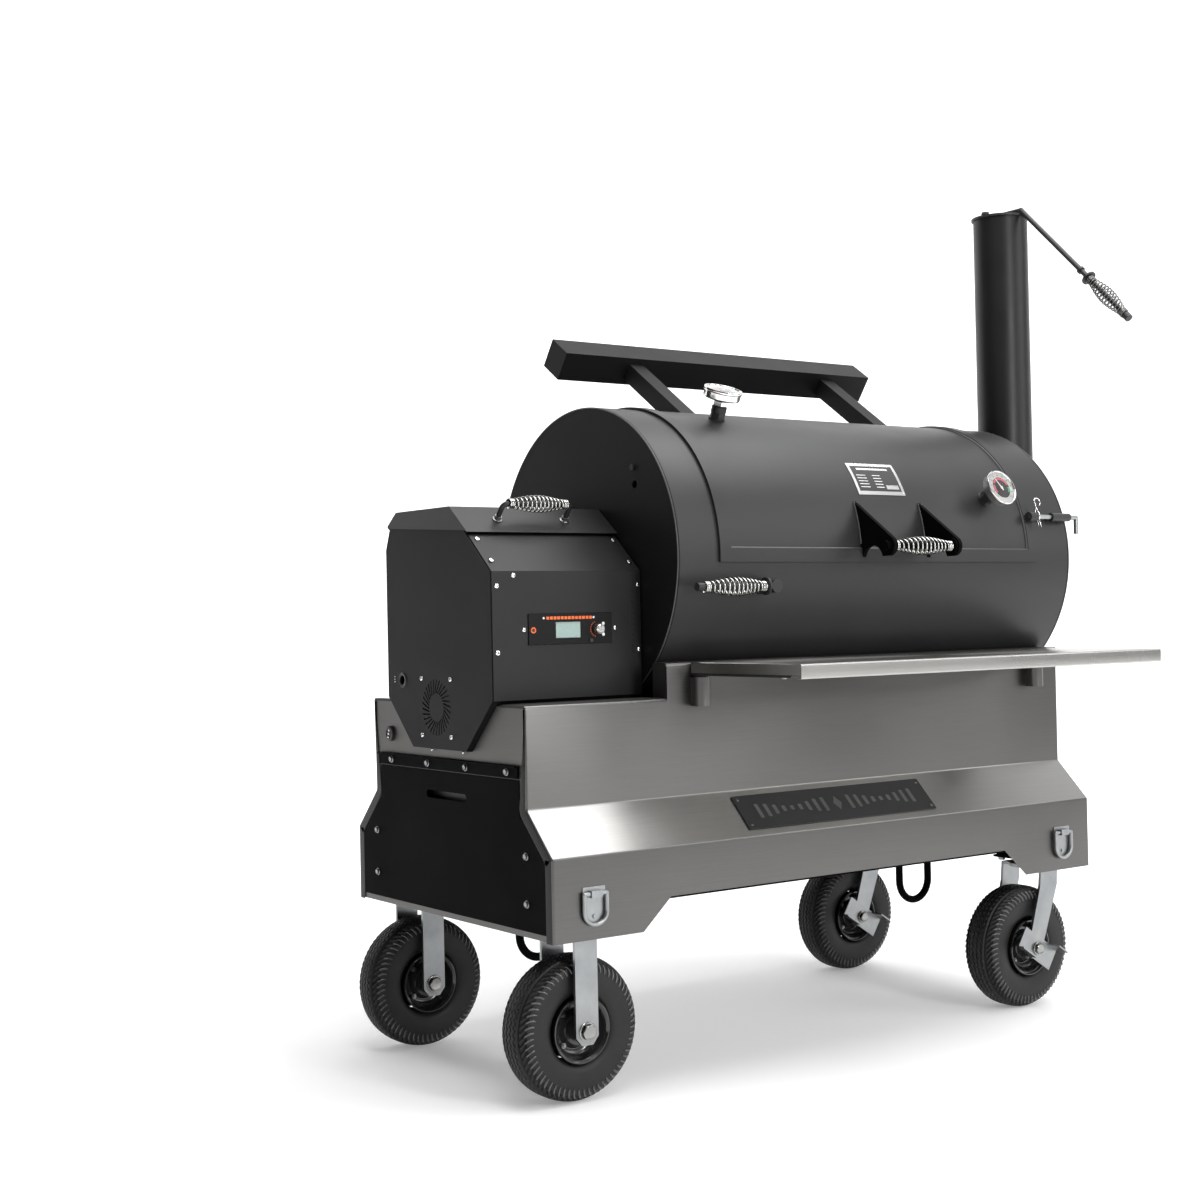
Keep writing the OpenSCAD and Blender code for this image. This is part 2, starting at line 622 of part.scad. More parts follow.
// bin: a box over a funnel; g shrinks it for the inner face
module bin_body(g, top) {
    box([-328 + g, -90 + g, 900 - e], [-16 - g, 148 - g, top]);
    intersection() {
        along_x(-340, 340) polygon([[-90 + g, 900], [148 - g, 900], [26.5 - g, 772.2], [-23.5 + g, 772.2]]);
        along_y(-200, 400) polygon([[-328 + g, 900], [-16 - g, 900], [-150 - g, 772.2], [-186 + g, 772.2]]);
    }
}
module hopper_bin() color("gainsboro") placed() translate([0, hopper_y, 0]) difference() {
    bin_body(0, 1029.5);
    translate([0, 0, 0.1]) bin_body(2, 1031);
    box([-184, -21.5, 765], [-152, 24.5, 780]);
}

module control_panel() color("dimgray") placed() difference() {
    box([-261.5, -hh + hopper_y - 4.5, 812.5], [-74.5, -hh + hopper_y + 6, 869]);
    box([-202, -hh + hopper_y - 5, 823.5], [-145.5, -hh + hopper_y, 853.5]);
    ycyl(-hh + hopper_y - 20, 40, 3.05, -110, 839);
}
module display_window() color("darkseagreen") placed()
    box([-201.9, -hh + hopper_y - 3.8, 823.6], [-145.6, -hh + hopper_y - 0.1, 853.4]);

module control_knob() color("gainsboro") placed() {
    ycyl(-hh + hopper_y - 20, 14, 9.5, -110, 839);
    ycyl(-hh + hopper_y - 8, 20, 3, -110, 839);
}

module power_inlet() color("dimgray") placed() {
    xcyl(cart_x0 - 3, 5, 15, 212, 638);
    xcyl(cart_x0 - 3, 38, 11, 212, 638);
}

module auger_drive() color("dimgray") placed() difference() {
    union() {
        xcyl(-237, 340, 32, 0, auger_z);
        box([-296, -42, auger_z - 40], [-237 + e, 42, auger_z + 36]);
        translate([150, 0, 690]) cylinder(h = 110, r = 52);
        box([-186, -20, auger_z + 20], [-150, 30, 772]);
    }
    xcyl(-232, 341, 29, 0, auger_z);
    translate([150, 0, 695]) cylinder(h = 120, r = 48);
    box([-183, -17, auger_z], [-153, 27, 775]);
    xcyl(-245, 20, 6.05, 0, auger_z);
}

module auger_screw() color("gainsboro") placed() {
    xcyl(-240, 330, 6, 0, auger_z);
    translate([-228, 0, auger_z]) rotate([0, 90, 0]) linear_extrude(height = 312, twist = 360 * 6, slices = 144, $fn = 8)
        translate([0, -2]) square([27, 4]);
}

module fan_impeller() color("dimgray") placed() translate([hopper_x0 + 6, fan_y, fan_z]) difference() {
    union() {
        xcyl(0, 22, 20);
        for (i = [0:6]) rotate([i * 360 / 7, 0, 0]) translate([11, 0, 18]) rotate([0, 0, 35])
            translate([-1.2, -13, 0]) cube([2.4, 26, 34]);
    }
    xcyl(-1, 24, 3.05);
}

module hopper_lid() color("dimgray") placed() translate([0, hopper_y, 0]) {
    x0 = hopper_x0 - lid_over;
    l = -1.2 - x0;
    difference() {
        union() {
            difference() {
                along_x(x0, l) polygon([[-121, 1022.5], [-58, hopper_top], [145, hopper_top],
                    [180, 1047.6], [179, 1043], [-106, 1026]]);
                along_x(x0 + 1.5, l - 3) polygon([[-119.75, 1020.94], [-57.3, hopper_top - 2],
                    [144.4, hopper_top - 2], [178.2, 1046.2], [179.5, 1030], [-100, 1000]]);
            }
            // moving hinge rolls
            for (x = [-338, -249, -180, -51]) xcyl(x, 40, 4.5, hop_hinge_y, hop_hinge_z);
        }
        for (x = hop_knuckles) box([x - 0.5, 168, 1030], [x + 40.5, 190, 1054]);
    }
}

module hopper_lid_handle() color("gainsboro") placed()
    translate([-181, -86, 1047.85]) rotate([38.7, 0, 0]) {
        for (s = [-1, 1]) {
            translate([s * 76, 0, 0]) cylinder(h = 37, r = 5);
            translate([s * 76, 0, 0]) cylinder(h = 3, r = 10);
            translate([s * 76, 0, 37]) sphere(r = 5);
        }
        translate([0, 0, 37]) xcyl(-76, 152, 5);
        translate([0, 0, 37]) grip_body(134, 17, 10);
    }

// ---- inside the barrel ---------------------------------------------------------------------

module heat_diffuser() color("dimgray") placed()
    along_x(60, 970) polygon([[-200, 750.6], [-200, 860], [0, 885], [200, 860], [200, 750.6], [197, 750.6],
        [197, 857.4], [0, 882], [-197, 857.4], [-197, 750.6]]);

module cooking_grates() color("gray") placed() for (g = [0:2]) translate([52 + g * 332, 0, 948]) {
    for (i = [0:14]) box([i * 23, -284, 0], [i * 23 + 6, 284, 6]);
    for (y = [-270, -90, 90, 264]) box([0, y, 0], [328, y + 6, 6]);
}

// ---- casters -------------------------------------------------------------------------------

// bent strap of a rigid fork seen from the front: half width w, bend radius r
function strap(w, r, top, low) = concat([[w, low]],
    [for (a = [0:15:90]) [w - r + r * cos(a), top - r + r * sin(a)]],
    [for (a = [90:15:180]) [r - w + r * cos(a), top - r + r * sin(a)]], [[-w, low]]);

module rigid_fork() {
    box([-57, -51, plate_z], [57, 51, plate_z + 5]);
    intersection() {
        along_x(-24, 48) difference() {
            polygon(strap(56, fork_bend, plate_z + e, tyre_r - 30));
            polygon(strap(50, fork_bend - 6, plate_z - 6, tyre_r - 40));
        }
        along_y(-60, 120) polygon([[-26, plate_z + 1], [26, plate_z + 1], [24, tyre_r - 9],
            [12, tyre_r - 24], [-12, tyre_r - 24], [-24, tyre_r - 9]]);
    }
    ycyl(-63, 126, 6, 0, tyre_r);
    for (y = [-64, 56]) ycyl(y, 8, 14, 0, tyre_r, $fn = 6);
}
module rigid_forks() color("gainsboro") placed()
    for (s = [-1, 1]) translate([wheel_x0, s * wheel_y, 0]) rigid_fork();

module swivel_fork() difference() {
    union() {
        translate([0, 0, 297]) cylinder(h = 7, r = 42);
        box([-26, -56, 298], [26, 56, 304]);
        for (s = [-1, 1]) {
            along_y(s > 0 ? 50 : -56, 6) union() {
                polygon([[-26, 304], [26, 304], [24, 262], [-trail + 24, tyre_r + 8], [-trail - 24, tyre_r],
                    [-30, 262]]);
                translate([-trail, tyre_r]) circle(r = 24);
            }
        }
        ycyl(-68, 134, 6, -trail, tyre_r);
        ycyl(-68, 6, 11, -trail, tyre_r, $fn = 6);
        ycyl(56, 7, 11, -trail, tyre_r, $fn = 6);
    }
    translate([0, 0, 290]) cylinder(h = 20, r = 10.05);
}
module swivel_fork_front() color("gainsboro") placed() translate([swivel_x, -wheel_y, 0]) swivel_fork();
module swivel_fork_back() color("gainsboro") placed() translate([swivel_x, wheel_y, 0]) swivel_fork();

module brake() translate([wheel_x1, 0, tyre_r]) difference() {
    rotate([0, 33, 0]) union() {
        box([-56, -60, -24], [56, -57, 24]);
        box([-56, -74, -24], [-8, -60 + e, -21]);
        box([24, -92, 21], [56, -60 + e, 24]);
    }
    ycyl(-100, 60, 6.05);
}
module brake_front() color("gainsboro") placed() translate([0, -wheel_y, 0]) brake();
module brake_back() color("gainsboro") placed() translate([0, wheel_y, 0]) brake();

module tyre() rotate([90, 0, 0]) rotate_extrude() polygon([[57.3, -27], [57.3, -37.2], [66.5, -37.2],
    [75, -tyre_w / 2 + 2.5], [96, -tyre_w / 2], [112, -tyre_w / 2 + 3.5], [tyre_r - 7, -tyre_w / 2 + 11],
    [tyre_r - 1.5, -tyre_w / 4], [tyre_r, 0], [tyre_r - 1.5, tyre_w / 4], [tyre_r - 7, tyre_w / 2 - 11],
    [112, tyre_w / 2 - 3.5], [96, tyre_w / 2], [75, tyre_w / 2 - 2.5], [66.5, 37.2], [57.3, 37.2],
    [57.3, 27], [72, 33], [96, 35], [113, 26], [119, 0], [113, -26], [96, -35], [72, -33]]);

module rim() rotate([90, 0, 0]) rotate_extrude() polygon([[6.05, -48], [18, -48], [18, -5], [52, -5],
    [52, -40], [66, -40], [66, -37.5], [57, -37.5], [57, 37.5], [66, 37.5], [66, 40], [52, 40], [52, 5],
    [18, 5], [18, 48], [6.05, 48]]);

module tyre_fl() color("dimgray") placed() translate([wheel_x0, -wheel_y, tyre_r]) tyre();
module tyre_bl() color("dimgray") placed() translate([wheel_x0, wheel_y, tyre_r]) tyre();
module tyre_fr() color("dimgray") placed() translate([wheel_x1, -wheel_y, tyre_r]) tyre();
module tyre_br() color("dimgray") placed() translate([wheel_x1, wheel_y, tyre_r]) tyre();
module rim_fl() color("dimgray") placed() translate([wheel_x0, -wheel_y, tyre_r]) rim();
module rim_bl() color("dimgray") placed() translate([wheel_x0, wheel_y, tyre_r]) rim();
module rim_fr() color("dimgray") placed() translate([wheel_x1, -wheel_y, tyre_r]) rim();
module rim_br() color("dimgray") placed() translate([wheel_x1, wheel_y, tyre_r]) rim();

// ---- latch ---------------------------------------------------------------------------------

module latch_pin() color("gainsboro") placed() round_barrel(latch_a) translate([0, -latch_r, 0]) {
    xcyl(990, 128, 5);
    translate([1118, 0, 0]) sphere(r = 5);
    rotate([latch_a, 0, 0]) translate([1118, 0, -36]) cylinder(h = 36, r = 5);
}

cart_front_panel();
cart_back_panel();
cart_left_frame();
access_panel();
panel_strip();
cart_right_panel();
cart_underframe();
hopper_stand();
barrel_saddles();
panel_bolts();
nameplate();
d_ring_plates();
tie_down_loops();
shelf_sockets();
barrel_shell();
barrel_end_plates();
barrel_fittings();
stack_pipe();
hopper_casing();
hopper_front_cover();
hopper_bin();
control_panel();
display_window();
power_inlet();
auger_drive();
heat_diffuser();
cooking_grates();
rigid_forks();
lid_panel();
lid_flange();
lid_handle_ears();
lid_handle_grip();
counterweight();
lid_thermometers();
rating_plate();
stack_cap();
stack_cap_grip();
damper_lever();
damper_grip();
hopper_lid();
hopper_lid_handle();
auger_screw();
fan_impeller();
control_knob();
shelf();
d_ring_left();
d_ring_right();
tyre_fl();
rim_fl();
tyre_bl();
rim_bl();
tyre_fr();
rim_fr();
tyre_br();
rim_br();
swivel_fork_front();
swivel_fork_back();
brake_front();
brake_back();
latch_pin();
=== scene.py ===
"""Looks of the barrel smoker: materials for the CAD nodes, and detailed pieces for coils, tyres, sheet metal,
dials, fasteners, welds and the control panel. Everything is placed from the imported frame."""

import math

import bmesh
import bpy
from mathutils import Euler, Matrix, Quaternion, Vector


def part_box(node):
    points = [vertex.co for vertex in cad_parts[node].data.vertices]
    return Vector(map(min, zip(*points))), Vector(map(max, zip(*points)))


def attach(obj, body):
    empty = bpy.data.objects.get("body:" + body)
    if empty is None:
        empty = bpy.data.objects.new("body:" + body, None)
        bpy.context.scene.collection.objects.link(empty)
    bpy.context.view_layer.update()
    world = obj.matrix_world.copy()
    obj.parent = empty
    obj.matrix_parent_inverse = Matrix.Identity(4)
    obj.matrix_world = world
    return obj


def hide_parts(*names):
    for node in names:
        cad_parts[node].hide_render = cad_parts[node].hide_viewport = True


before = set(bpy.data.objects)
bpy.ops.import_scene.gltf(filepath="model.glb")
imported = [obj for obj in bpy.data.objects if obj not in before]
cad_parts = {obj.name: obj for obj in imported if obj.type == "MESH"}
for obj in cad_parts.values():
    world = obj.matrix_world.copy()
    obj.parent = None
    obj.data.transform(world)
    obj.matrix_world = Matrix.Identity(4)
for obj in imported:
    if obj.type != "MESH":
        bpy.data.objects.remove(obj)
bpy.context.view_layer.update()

MM = 0.001
TO_FRONT = Matrix.Rotation(math.radians(90), 3, "X")
TO_BACK = Matrix.Rotation(math.radians(-90), 3, "X")
TO_LEFT = Matrix.Rotation(math.radians(-90), 3, "Y")
TO_RIGHT = Matrix.Rotation(math.radians(90), 3, "Y")
UPRIGHT = Matrix.Identity(3)

# ---- main places, from the frame ----
# In millimetres from the barrel's left end, from its centre plane and from the floor.


def span(node):
    """Low and high corner of a CAD node in those millimetres."""
    low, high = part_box(node)
    shift = Vector((BARREL_LEFT, BARREL_MIDDLE, 0))
    return (low - shift) / MM, (high - shift) / MM


end_low, end_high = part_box("barrel_end_plates")
BARREL_LEFT = end_low.x
BARREL_MIDDLE = (end_low.y + end_high.y) / 2
BARREL_R = (end_high.y - end_low.y) / 2 / MM
BARREL_Z = (end_high.z + end_low.z) / 2 / MM
BARREL_L = (end_high.x - end_low.x) / MM


def at(x, y, z, turn=UPRIGHT):
    """Puts millimetre shapes at a spot given in millimetres, turned as asked, in the frame's metres."""
    place = Matrix.Translation((BARREL_LEFT + x * MM, BARREL_MIDDLE + y * MM, z * MM))
    return place @ turn.to_4x4() @ Matrix.Scale(MM, 4)


def on_barrel(x, angle, radius):
    """A place on the barrel: local Z points outward, local X along the barrel, local Y up round it."""
    a = math.radians(angle)
    turn = Matrix.Rotation(math.radians(90) - a, 3, "X")
    return at(x, -radius * math.cos(a), BARREL_Z + radius * math.sin(a), turn)


def middle(node):
    low, high = span(node)
    return (low + high) / 2


# ---- mesh building ----


def new_object(name, data):
    made = bpy.data.objects.new(name, data)
    bpy.context.scene.collection.objects.link(made)
    return made


class Shape:
    """Collects faces and makes one piece of them. A kind is the index of the face's material."""

    def __init__(self):
        self.points, self.faces, self.kinds = [], [], []

    def add(self, place, points, faces, kind=0):
        first = len(self.points)
        self.points += [place @ Vector(p) for p in points]
        self.faces += [[first + i for i in face] for face in faces]
        self.kinds += [kind] * len(faces)

    def lathe(self, place, profile, sides=48, kind=0):
        """Turns (radius, height) points round local Z. A radius of 0 closes the end."""
        points, faces, rings = [], [], []
        for radius, height in profile:
            if radius < 1e-6:
                rings.append([len(points)] * sides)
                points.append((0, 0, height))
                continue
            rings.append(list(range(len(points), len(points) + sides)))
            for i in range(sides):
                a = math.tau * i / sides
                points.append((radius * math.cos(a), radius * math.sin(a), height))
        for lower, upper in zip(rings, rings[1:]):
            for i in range(sides):
                j = (i + 1) % sides
                corners = [lower[i], lower[j], upper[j], upper[i]]
                faces.append(list(dict.fromkeys(corners)))
        self.add(place, points, [f for f in faces if len(f) > 2], kind)

    def prism(self, place, outline, low, high, kind=0):
        """A flat outline with thickness along local Z."""
        n = len(outline)
        points = [(x, y, low) for x, y in outline] + [(x, y, high) for x, y in outline]
        faces = [list(range(n))[::-1], list(range(n, 2 * n))]
        faces += [[i, (i + 1) % n, n + (i + 1) % n, n + i] for i in range(n)]
        self.add(place, points, faces, kind)

    def block(self, place, low, high, kind=0):
        outline = [(low[0], low[1]), (high[0], low[1]), (high[0], high[1]), (low[0], high[1])]
        self.prism(place, outline, low[2], high[2], kind)

    def sweep(self, path, radius, sides=10, kind=0, closed=False):
        """A round bar along a path in the frame's metres. The radius is a number or one number per point."""
        radii = radius if isinstance(radius, list) else [radius] * len(path)
        points, faces = [], []
        across = None
        n = len(path)
        for i, here in enumerate(path):
            before = path[i - 1] if i or closed else here
            after = path[(i + 1) % n] if i < n - 1 or closed else here
            along = (after - before).normalized()
            if across is None:
                across = along.orthogonal().normalized()
            across = (across - along * across.dot(along)).normalized()
            third = along.cross(across)
            for k in range(sides):
                a = math.tau * k / sides
                points.append(here + (across * math.cos(a) + third * math.sin(a)) * radii[i])
        rings = n if closed else n - 1
        for i in range(rings):
            for k in range(sides):
                m, j = (k + 1) % sides, (i + 1) % n
                faces.append([i * sides + k, i * sides + m, j * sides + m, j * sides + k])
        if not closed:
            faces += [list(range(sides))[::-1], list(range((n - 1) * sides, n * sides))]
        self.add(Matrix.Identity(4), points, faces, kind)

    def grid(self, place, rows, kind=0):
        """A surface through rows of points."""
        width = len(rows[0])
        faces = []
        for r in range(len(rows) - 1):
            for c in range(width - 1):
                a = r * width + c
                faces.append([a, a + 1, a + width + 1, a + width])
        self.add(place, [p for row in rows for p in row], faces, kind)

    def piece(self, name, body, materials, replaces=(), bevel=0.0, sharp=38, sheet=0.0):
        """Makes the object, lets it ride on a body, and hides the CAD nodes that it stands for."""
        mesh = bpy.data.meshes.new(name)
        mesh.from_pydata([tuple(p) for p in self.points], [], self.faces)
        made = bmesh.new()
        made.from_mesh(mesh)
        bmesh.ops.remove_doubles(made, verts=made.verts, dist=1e-6)
        bmesh.ops.recalc_face_normals(made, faces=made.faces)
        made.to_mesh(mesh)
        made.free()
        if len(mesh.polygons) == len(self.kinds):
            mesh.polygons.foreach_set("material_index", self.kinds)
        mesh.polygons.foreach_set("use_smooth", [True] * len(mesh.polygons))
        mesh.set_sharp_from_angle(angle=math.radians(sharp))
        made_object = new_object(name, mesh)
        for material in materials:
            mesh.materials.append(material)
        if sheet:
            thick = made_object.modifiers.new("sheet", "SOLIDIFY")
            thick.thickness = sheet * MM
            thick.offset = -1
        if bevel:
            add_bevel(made_object, bevel)
        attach(made_object, body)
        if replaces:
            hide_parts(*replaces)
        return made_object


def add_bevel(obj, width, segments=2, angle=32):
    edge = obj.modifiers.new("edges", "BEVEL")
    edge.width = width * MM
    edge.segments = segments
    edge.limit_method = "ANGLE"
    edge.angle_limit = math.radians(angle)
    edge.harden_normals = True


def polar(radius, degrees):
    """A flat point at a distance and an angle."""
    a = math.radians(degrees)
    return radius * math.cos(a), radius * math.sin(a)


def arc(cx, cy, radius, start, end, steps=6):
    """Points of an arc in a flat outline, from one angle to another in degrees."""
    points = [polar(radius, start + (end - start) * i / steps) for i in range(steps + 1)]
    return [(cx + x, cy + y) for x, y in points]


def hexagon(radius):
    return arc(0, 0, radius, 0, 300, 5)


def rounded_box(w, h, r, steps=5):
    x, y = w / 2 - r, h / 2 - r
    corners = [(x, y, 0), (-x, y, 90), (-x, -y, 180), (x, -y, 270)]
    return [p for cx, cy, a in corners for p in arc(cx, cy, r, a, a + 90, steps)]


# ---- materials ----


def set_inputs(node, **values):
    """Input values of a shader node. An underscore in a name stands for a space."""
    for socket, value in values.items():
        node.inputs[socket.replace("_", " ")].default_value = value


def add_node(tree, kind, **values):
    node = tree.nodes.new(kind)
    set_inputs(node, **values)
    return node


class Paint:
    """A Principled material with helpers for procedural colour, roughness and bump."""

    def __init__(self, name, color, metallic=0.0, roughness=0.5, **sockets):
        self.material = bpy.data.materials.new(name)
        self.material.use_nodes = True
        self.tree = self.material.node_tree
        self.links = self.tree.links
        self.shader = self.tree.nodes["Principled BSDF"]
        set_inputs(self.shader, Base_Color=(*color, 1), Metallic=metallic, Roughness=roughness, **sockets)
        self.height = None

    def noise(self, scale, detail=3.0, stretch=(1, 1, 1), roughness=0.55):
        """Noise in the object's own space, stretched along an axis for brushed metal."""
        where = add_node(self.tree, "ShaderNodeTexCoord")
        mapping = add_node(self.tree, "ShaderNodeMapping", Scale=stretch)
        made = add_node(self.tree, "ShaderNodeTexNoise", Scale=scale, Detail=detail, Roughness=roughness)
        self.links.new(where.outputs["Object"], mapping.inputs["Vector"])
        self.links.new(mapping.outputs["Vector"], made.inputs["Vector"])
        return made.outputs["Fac"]

    def spangle(self, scale):
        """Cells, as on galvanised sheet."""
        where = add_node(self.tree, "ShaderNodeTexCoord")
        made = add_node(self.tree, "ShaderNodeTexVoronoi", Scale=scale)
        self.links.new(where.outputs["Object"], made.inputs["Vector"])
        spread = add_node(self.tree, "ShaderNodeSeparateColor")
        self.links.new(made.outputs["Color"], spread.inputs["Color"])
        return spread.outputs["Red"]

    def color(self, factor, dark, light, low=0.3, high=0.7):
        ramp = add_node(self.tree, "ShaderNodeValToRGB")
        ramp.color_ramp.elements[0].position = low
        ramp.color_ramp.elements[0].color = (*dark, 1)
        ramp.color_ramp.elements[1].position = high
        ramp.color_ramp.elements[1].color = (*light, 1)
        self.links.new(factor, ramp.inputs["Fac"])
        self.links.new(ramp.outputs["Color"], self.shader.inputs["Base Color"])

    def rough(self, factor, low, high):
        spread = add_node(
            self.tree, "ShaderNodeMapRange", From_Min=0.3, From_Max=0.7, To_Min=low, To_Max=high
        )
        self.links.new(factor, spread.inputs["Value"])
        self.links.new(spread.outputs["Result"], self.shader.inputs["Roughness"])

    def bump(self, factor, depth, strength=1.0):
        """Adds relief of a depth in millimetres."""
        made = add_node(self.tree, "ShaderNodeBump", Strength=strength, Distance=depth * MM)
        self.links.new(factor, made.inputs["Height"])
        if self.height:
            self.links.new(self.height, made.inputs["Normal"])
        self.height = made.outputs["Normal"]
        self.links.new(self.height, self.shader.inputs["Normal"])


def tinted(color, factor):
    return tuple(min(1, c * factor) for c in color)


def powder_coat(name, color, roughness, shine):
    paint = Paint(name, color, roughness=roughness, Specular_IOR_Level=shine)
    orange_peel = paint.noise(420, 2)
    clouds = paint.noise(6, 4)
    paint.color(clouds, color, tinted(color, 1.25))
    paint.rough(clouds, roughness - 0.03, roughness + 0.05)
    paint.bump(orange_peel, 0.12, 0.35)
    return paint.material


def brushed(name, color, roughness, along, grain=1.0):
    """Metal brushed along an axis (0 X, 1 Y, 2 Z)."""
    paint = Paint(name, color, 1.0, roughness, Anisotropic=0.45)
    stretch = [70, 70, 70]
    stretch[along] = 0.9
    streaks = paint.noise(9, 6, stretch, 0.7)
    clouds = paint.noise(2.2, 3)
    paint.color(streaks, tinted(color, 0.93), tinted(color, 1.05))
    paint.rough(clouds, roughness - 0.03, roughness + 0.05)
    paint.bump(streaks, 0.05 * grain, 0.4)
    return paint.material


def zinc():
    paint = Paint("zinc_plating", (0.30, 0.31, 0.32), 1.0, 0.32)
    stains = paint.noise(14, 5)
    fine = paint.noise(260, 3)
    paint.color(stains, (0.23, 0.24, 0.25), (0.35, 0.36, 0.36))
    paint.rough(stains, 0.28, 0.42)
    paint.bump(fine, 0.06, 0.4)
    return paint.material


def chrome():
    paint = Paint("polished_chrome", (0.82, 0.81, 0.79), 1.0, 0.12)
    smears = paint.noise(40, 3)
    paint.rough(smears, 0.09, 0.19)
    paint.color(smears, (0.78, 0.77, 0.75), (0.86, 0.85, 0.83))
    return paint.material


def coil_steel(name, shade):
    color = (shade, shade, shade * 0.97)
    paint = Paint(name, color, 1.0, 0.2)
    smears = paint.noise(60, 3)
    paint.rough(smears, 0.15, 0.28)
    paint.color(smears, tinted(color, 0.86), tinted(color, 1.1))
    return paint.material


def rubber(name, shade, roughness, shine):
    color = (shade, shade, shade)
    paint = Paint(name, color, 0.0, roughness, Specular_IOR_Level=shine)
    dust = paint.noise(22, 5)
    grain = paint.noise(600, 2)
    paint.color(dust, tinted(color, 0.8), tinted(color, 1.55))
    paint.rough(dust, roughness - 0.08, roughness + 0.06)
    paint.bump(grain, 0.12, 0.4)
    return paint.material


def gloss_black():
    paint = Paint("gloss_black_rim", (0.012, 0.012, 0.013), 0.0, 0.2, Coat_Weight=0.5, Coat_Roughness=0.08)
    clouds = paint.noise(30, 3)
    paint.color(clouds, (0.010, 0.010, 0.011), (0.018, 0.018, 0.018))
    paint.rough(clouds, 0.16, 0.27)
    paint.bump(paint.noise(300, 2), 0.05, 0.3)
    return paint.material


def moulded_plastic(name, color, roughness=0.45):
    paint = Paint(name, color, 0.0, roughness)
    grain = paint.noise(900, 2)
    paint.color(grain, tinted(color, 0.85), tinted(color, 1.15))
    paint.rough(grain, roughness - 0.04, roughness + 0.06)
    paint.bump(grain, 0.05, 0.4)
    return paint.material


def galvanised():
    paint = Paint("galvanised_sheet", (0.55, 0.56, 0.57), 1.0, 0.4)
    cells = paint.spangle(90)
    paint.color(cells, (0.46, 0.47, 0.48), (0.66, 0.67, 0.68), 0.0, 1.0)
    paint.rough(cells, 0.34, 0.5)
    return paint.material


def cast_iron():
    paint = Paint("seasoned_iron", (0.035, 0.033, 0.031), 0.4, 0.6)
    grain = paint.noise(220, 4)
    paint.color(grain, (0.022, 0.020, 0.019), (0.06, 0.054, 0.05))
    paint.rough(grain, 0.5, 0.75)
    paint.bump(grain, 0.4, 0.6)
    return paint.material


def clear_glass():
    return Paint("clear_glass", (1, 1, 1), 0.0, 0.03, Transmission_Weight=1.0, IOR=1.2).material


COAT = powder_coat("black_powder_coat", (0.0165, 0.0168, 0.0175), 0.42, 0.36)
# A darker copy of the black coat: painted shade on the ends that face the left, also used for the control
# plate.
SHADE_DARKENED_COAT = powder_coat("black_coat_painted_shade", (0.0062, 0.0062, 0.0065), 0.5, 0.14)
# A still darker copy: painted shade on the access panel and strip, the lid handle's ears, the underframe and
# the tie-down loops.
DEEP_SHADE_COAT = powder_coat("black_coat_deep_painted_shade", (0.0020, 0.0020, 0.0021), 0.6, 0.03)
# A lighter grey than the black coat: painted highlight on the weld beads.
LIT_WELD_COAT = powder_coat("weld_coat_painted_highlight", (0.050, 0.050, 0.051), 0.32, 0.6)
DEEP_COAT = powder_coat("deep_black_coat", (0.0048, 0.0049, 0.0052), 0.46, 0.18)
STACK_COAT = powder_coat("stack_coat", (0.0036, 0.0037, 0.0039), 0.40, 0.34)
HOPPER_COAT = powder_coat("hopper_coat", (0.0098, 0.0100, 0.0105), 0.44, 0.26)
STAINLESS = brushed("stainless_along", (0.152, 0.150, 0.146), 0.33, 0)
# Darker and lighter copies of the stainless: painted shade on the cart's lower band, painted highlight on its
# slanted band.
SHADED_LOW_STEEL = brushed("stainless_low_painted_shade", (0.122, 0.120, 0.117), 0.33, 0)
LIT_SLANT_STEEL = brushed("stainless_slant_painted_highlight", (0.315, 0.311, 0.303), 0.33, 0)
SHADED_STEEL = brushed("shaded_steel", (0.035, 0.035, 0.034), 0.4, 2)
STAINLESS_END = brushed("stainless_end", (0.13, 0.128, 0.124), 0.42, 1)
SHELF_STEEL = brushed("shelf_stainless", (0.40, 0.393, 0.38), 0.28, 0)
PLATE_STEEL = brushed("plate_steel", (0.72, 0.72, 0.71), 0.25, 0, 0.5)
MOTIF_STEEL = brushed("motif_steel", (0.16, 0.16, 0.155), 0.45, 0, 0.5)
ZINC = zinc()
CHROME = chrome()
COIL_STEEL = coil_steel("coil_steel", 0.56)
# A darker copy of the coil steel: painted shade on the stack cap's coil.
SHADED_COIL_STEEL = coil_steel("coil_steel_painted_shade", 0.16)
BOLT_STEEL = coil_steel("bolt_steel", 0.30)
RUBBER = rubber("tyre_rubber", 0.0105, 0.5, 0.34)
# A lighter rubber: painted highlight on the tyres' shoulder ribs.
LIT_LUG_RUBBER = rubber("rubber_painted_highlight", 0.052, 0.28, 0.9)
GLOSS = gloss_black()
PLASTIC = moulded_plastic("black_plastic", (0.015, 0.015, 0.016))
ORANGE = moulded_plastic("orange_print", (0.75, 0.13, 0.02), 0.5)
WHITE = moulded_plastic("white_print", (0.80, 0.80, 0.78), 0.5)
# Near black for the hopper's slots and the space behind its grille: painted shade.
PAINTED_SHADE_BLACK = moulded_plastic("painted_shade_black", (0.002, 0.002, 0.002), 0.9)
DIAL_WHITE = moulded_plastic("dial_white", (0.46, 0.46, 0.45), 0.55)
RED = moulded_plastic("red_print", (0.58, 0.09, 0.12), 0.5)
GREEN = moulded_plastic("green_print", (0.05, 0.40, 0.16), 0.5)
DISPLAY = moulded_plastic("display_grey_green", (0.30, 0.40, 0.37), 0.3)
GALVANISED = galvanised()
IRON = cast_iron()
GLASS = clear_glass()


# ---- CAD nodes that stay, with their materials and softened edges ----

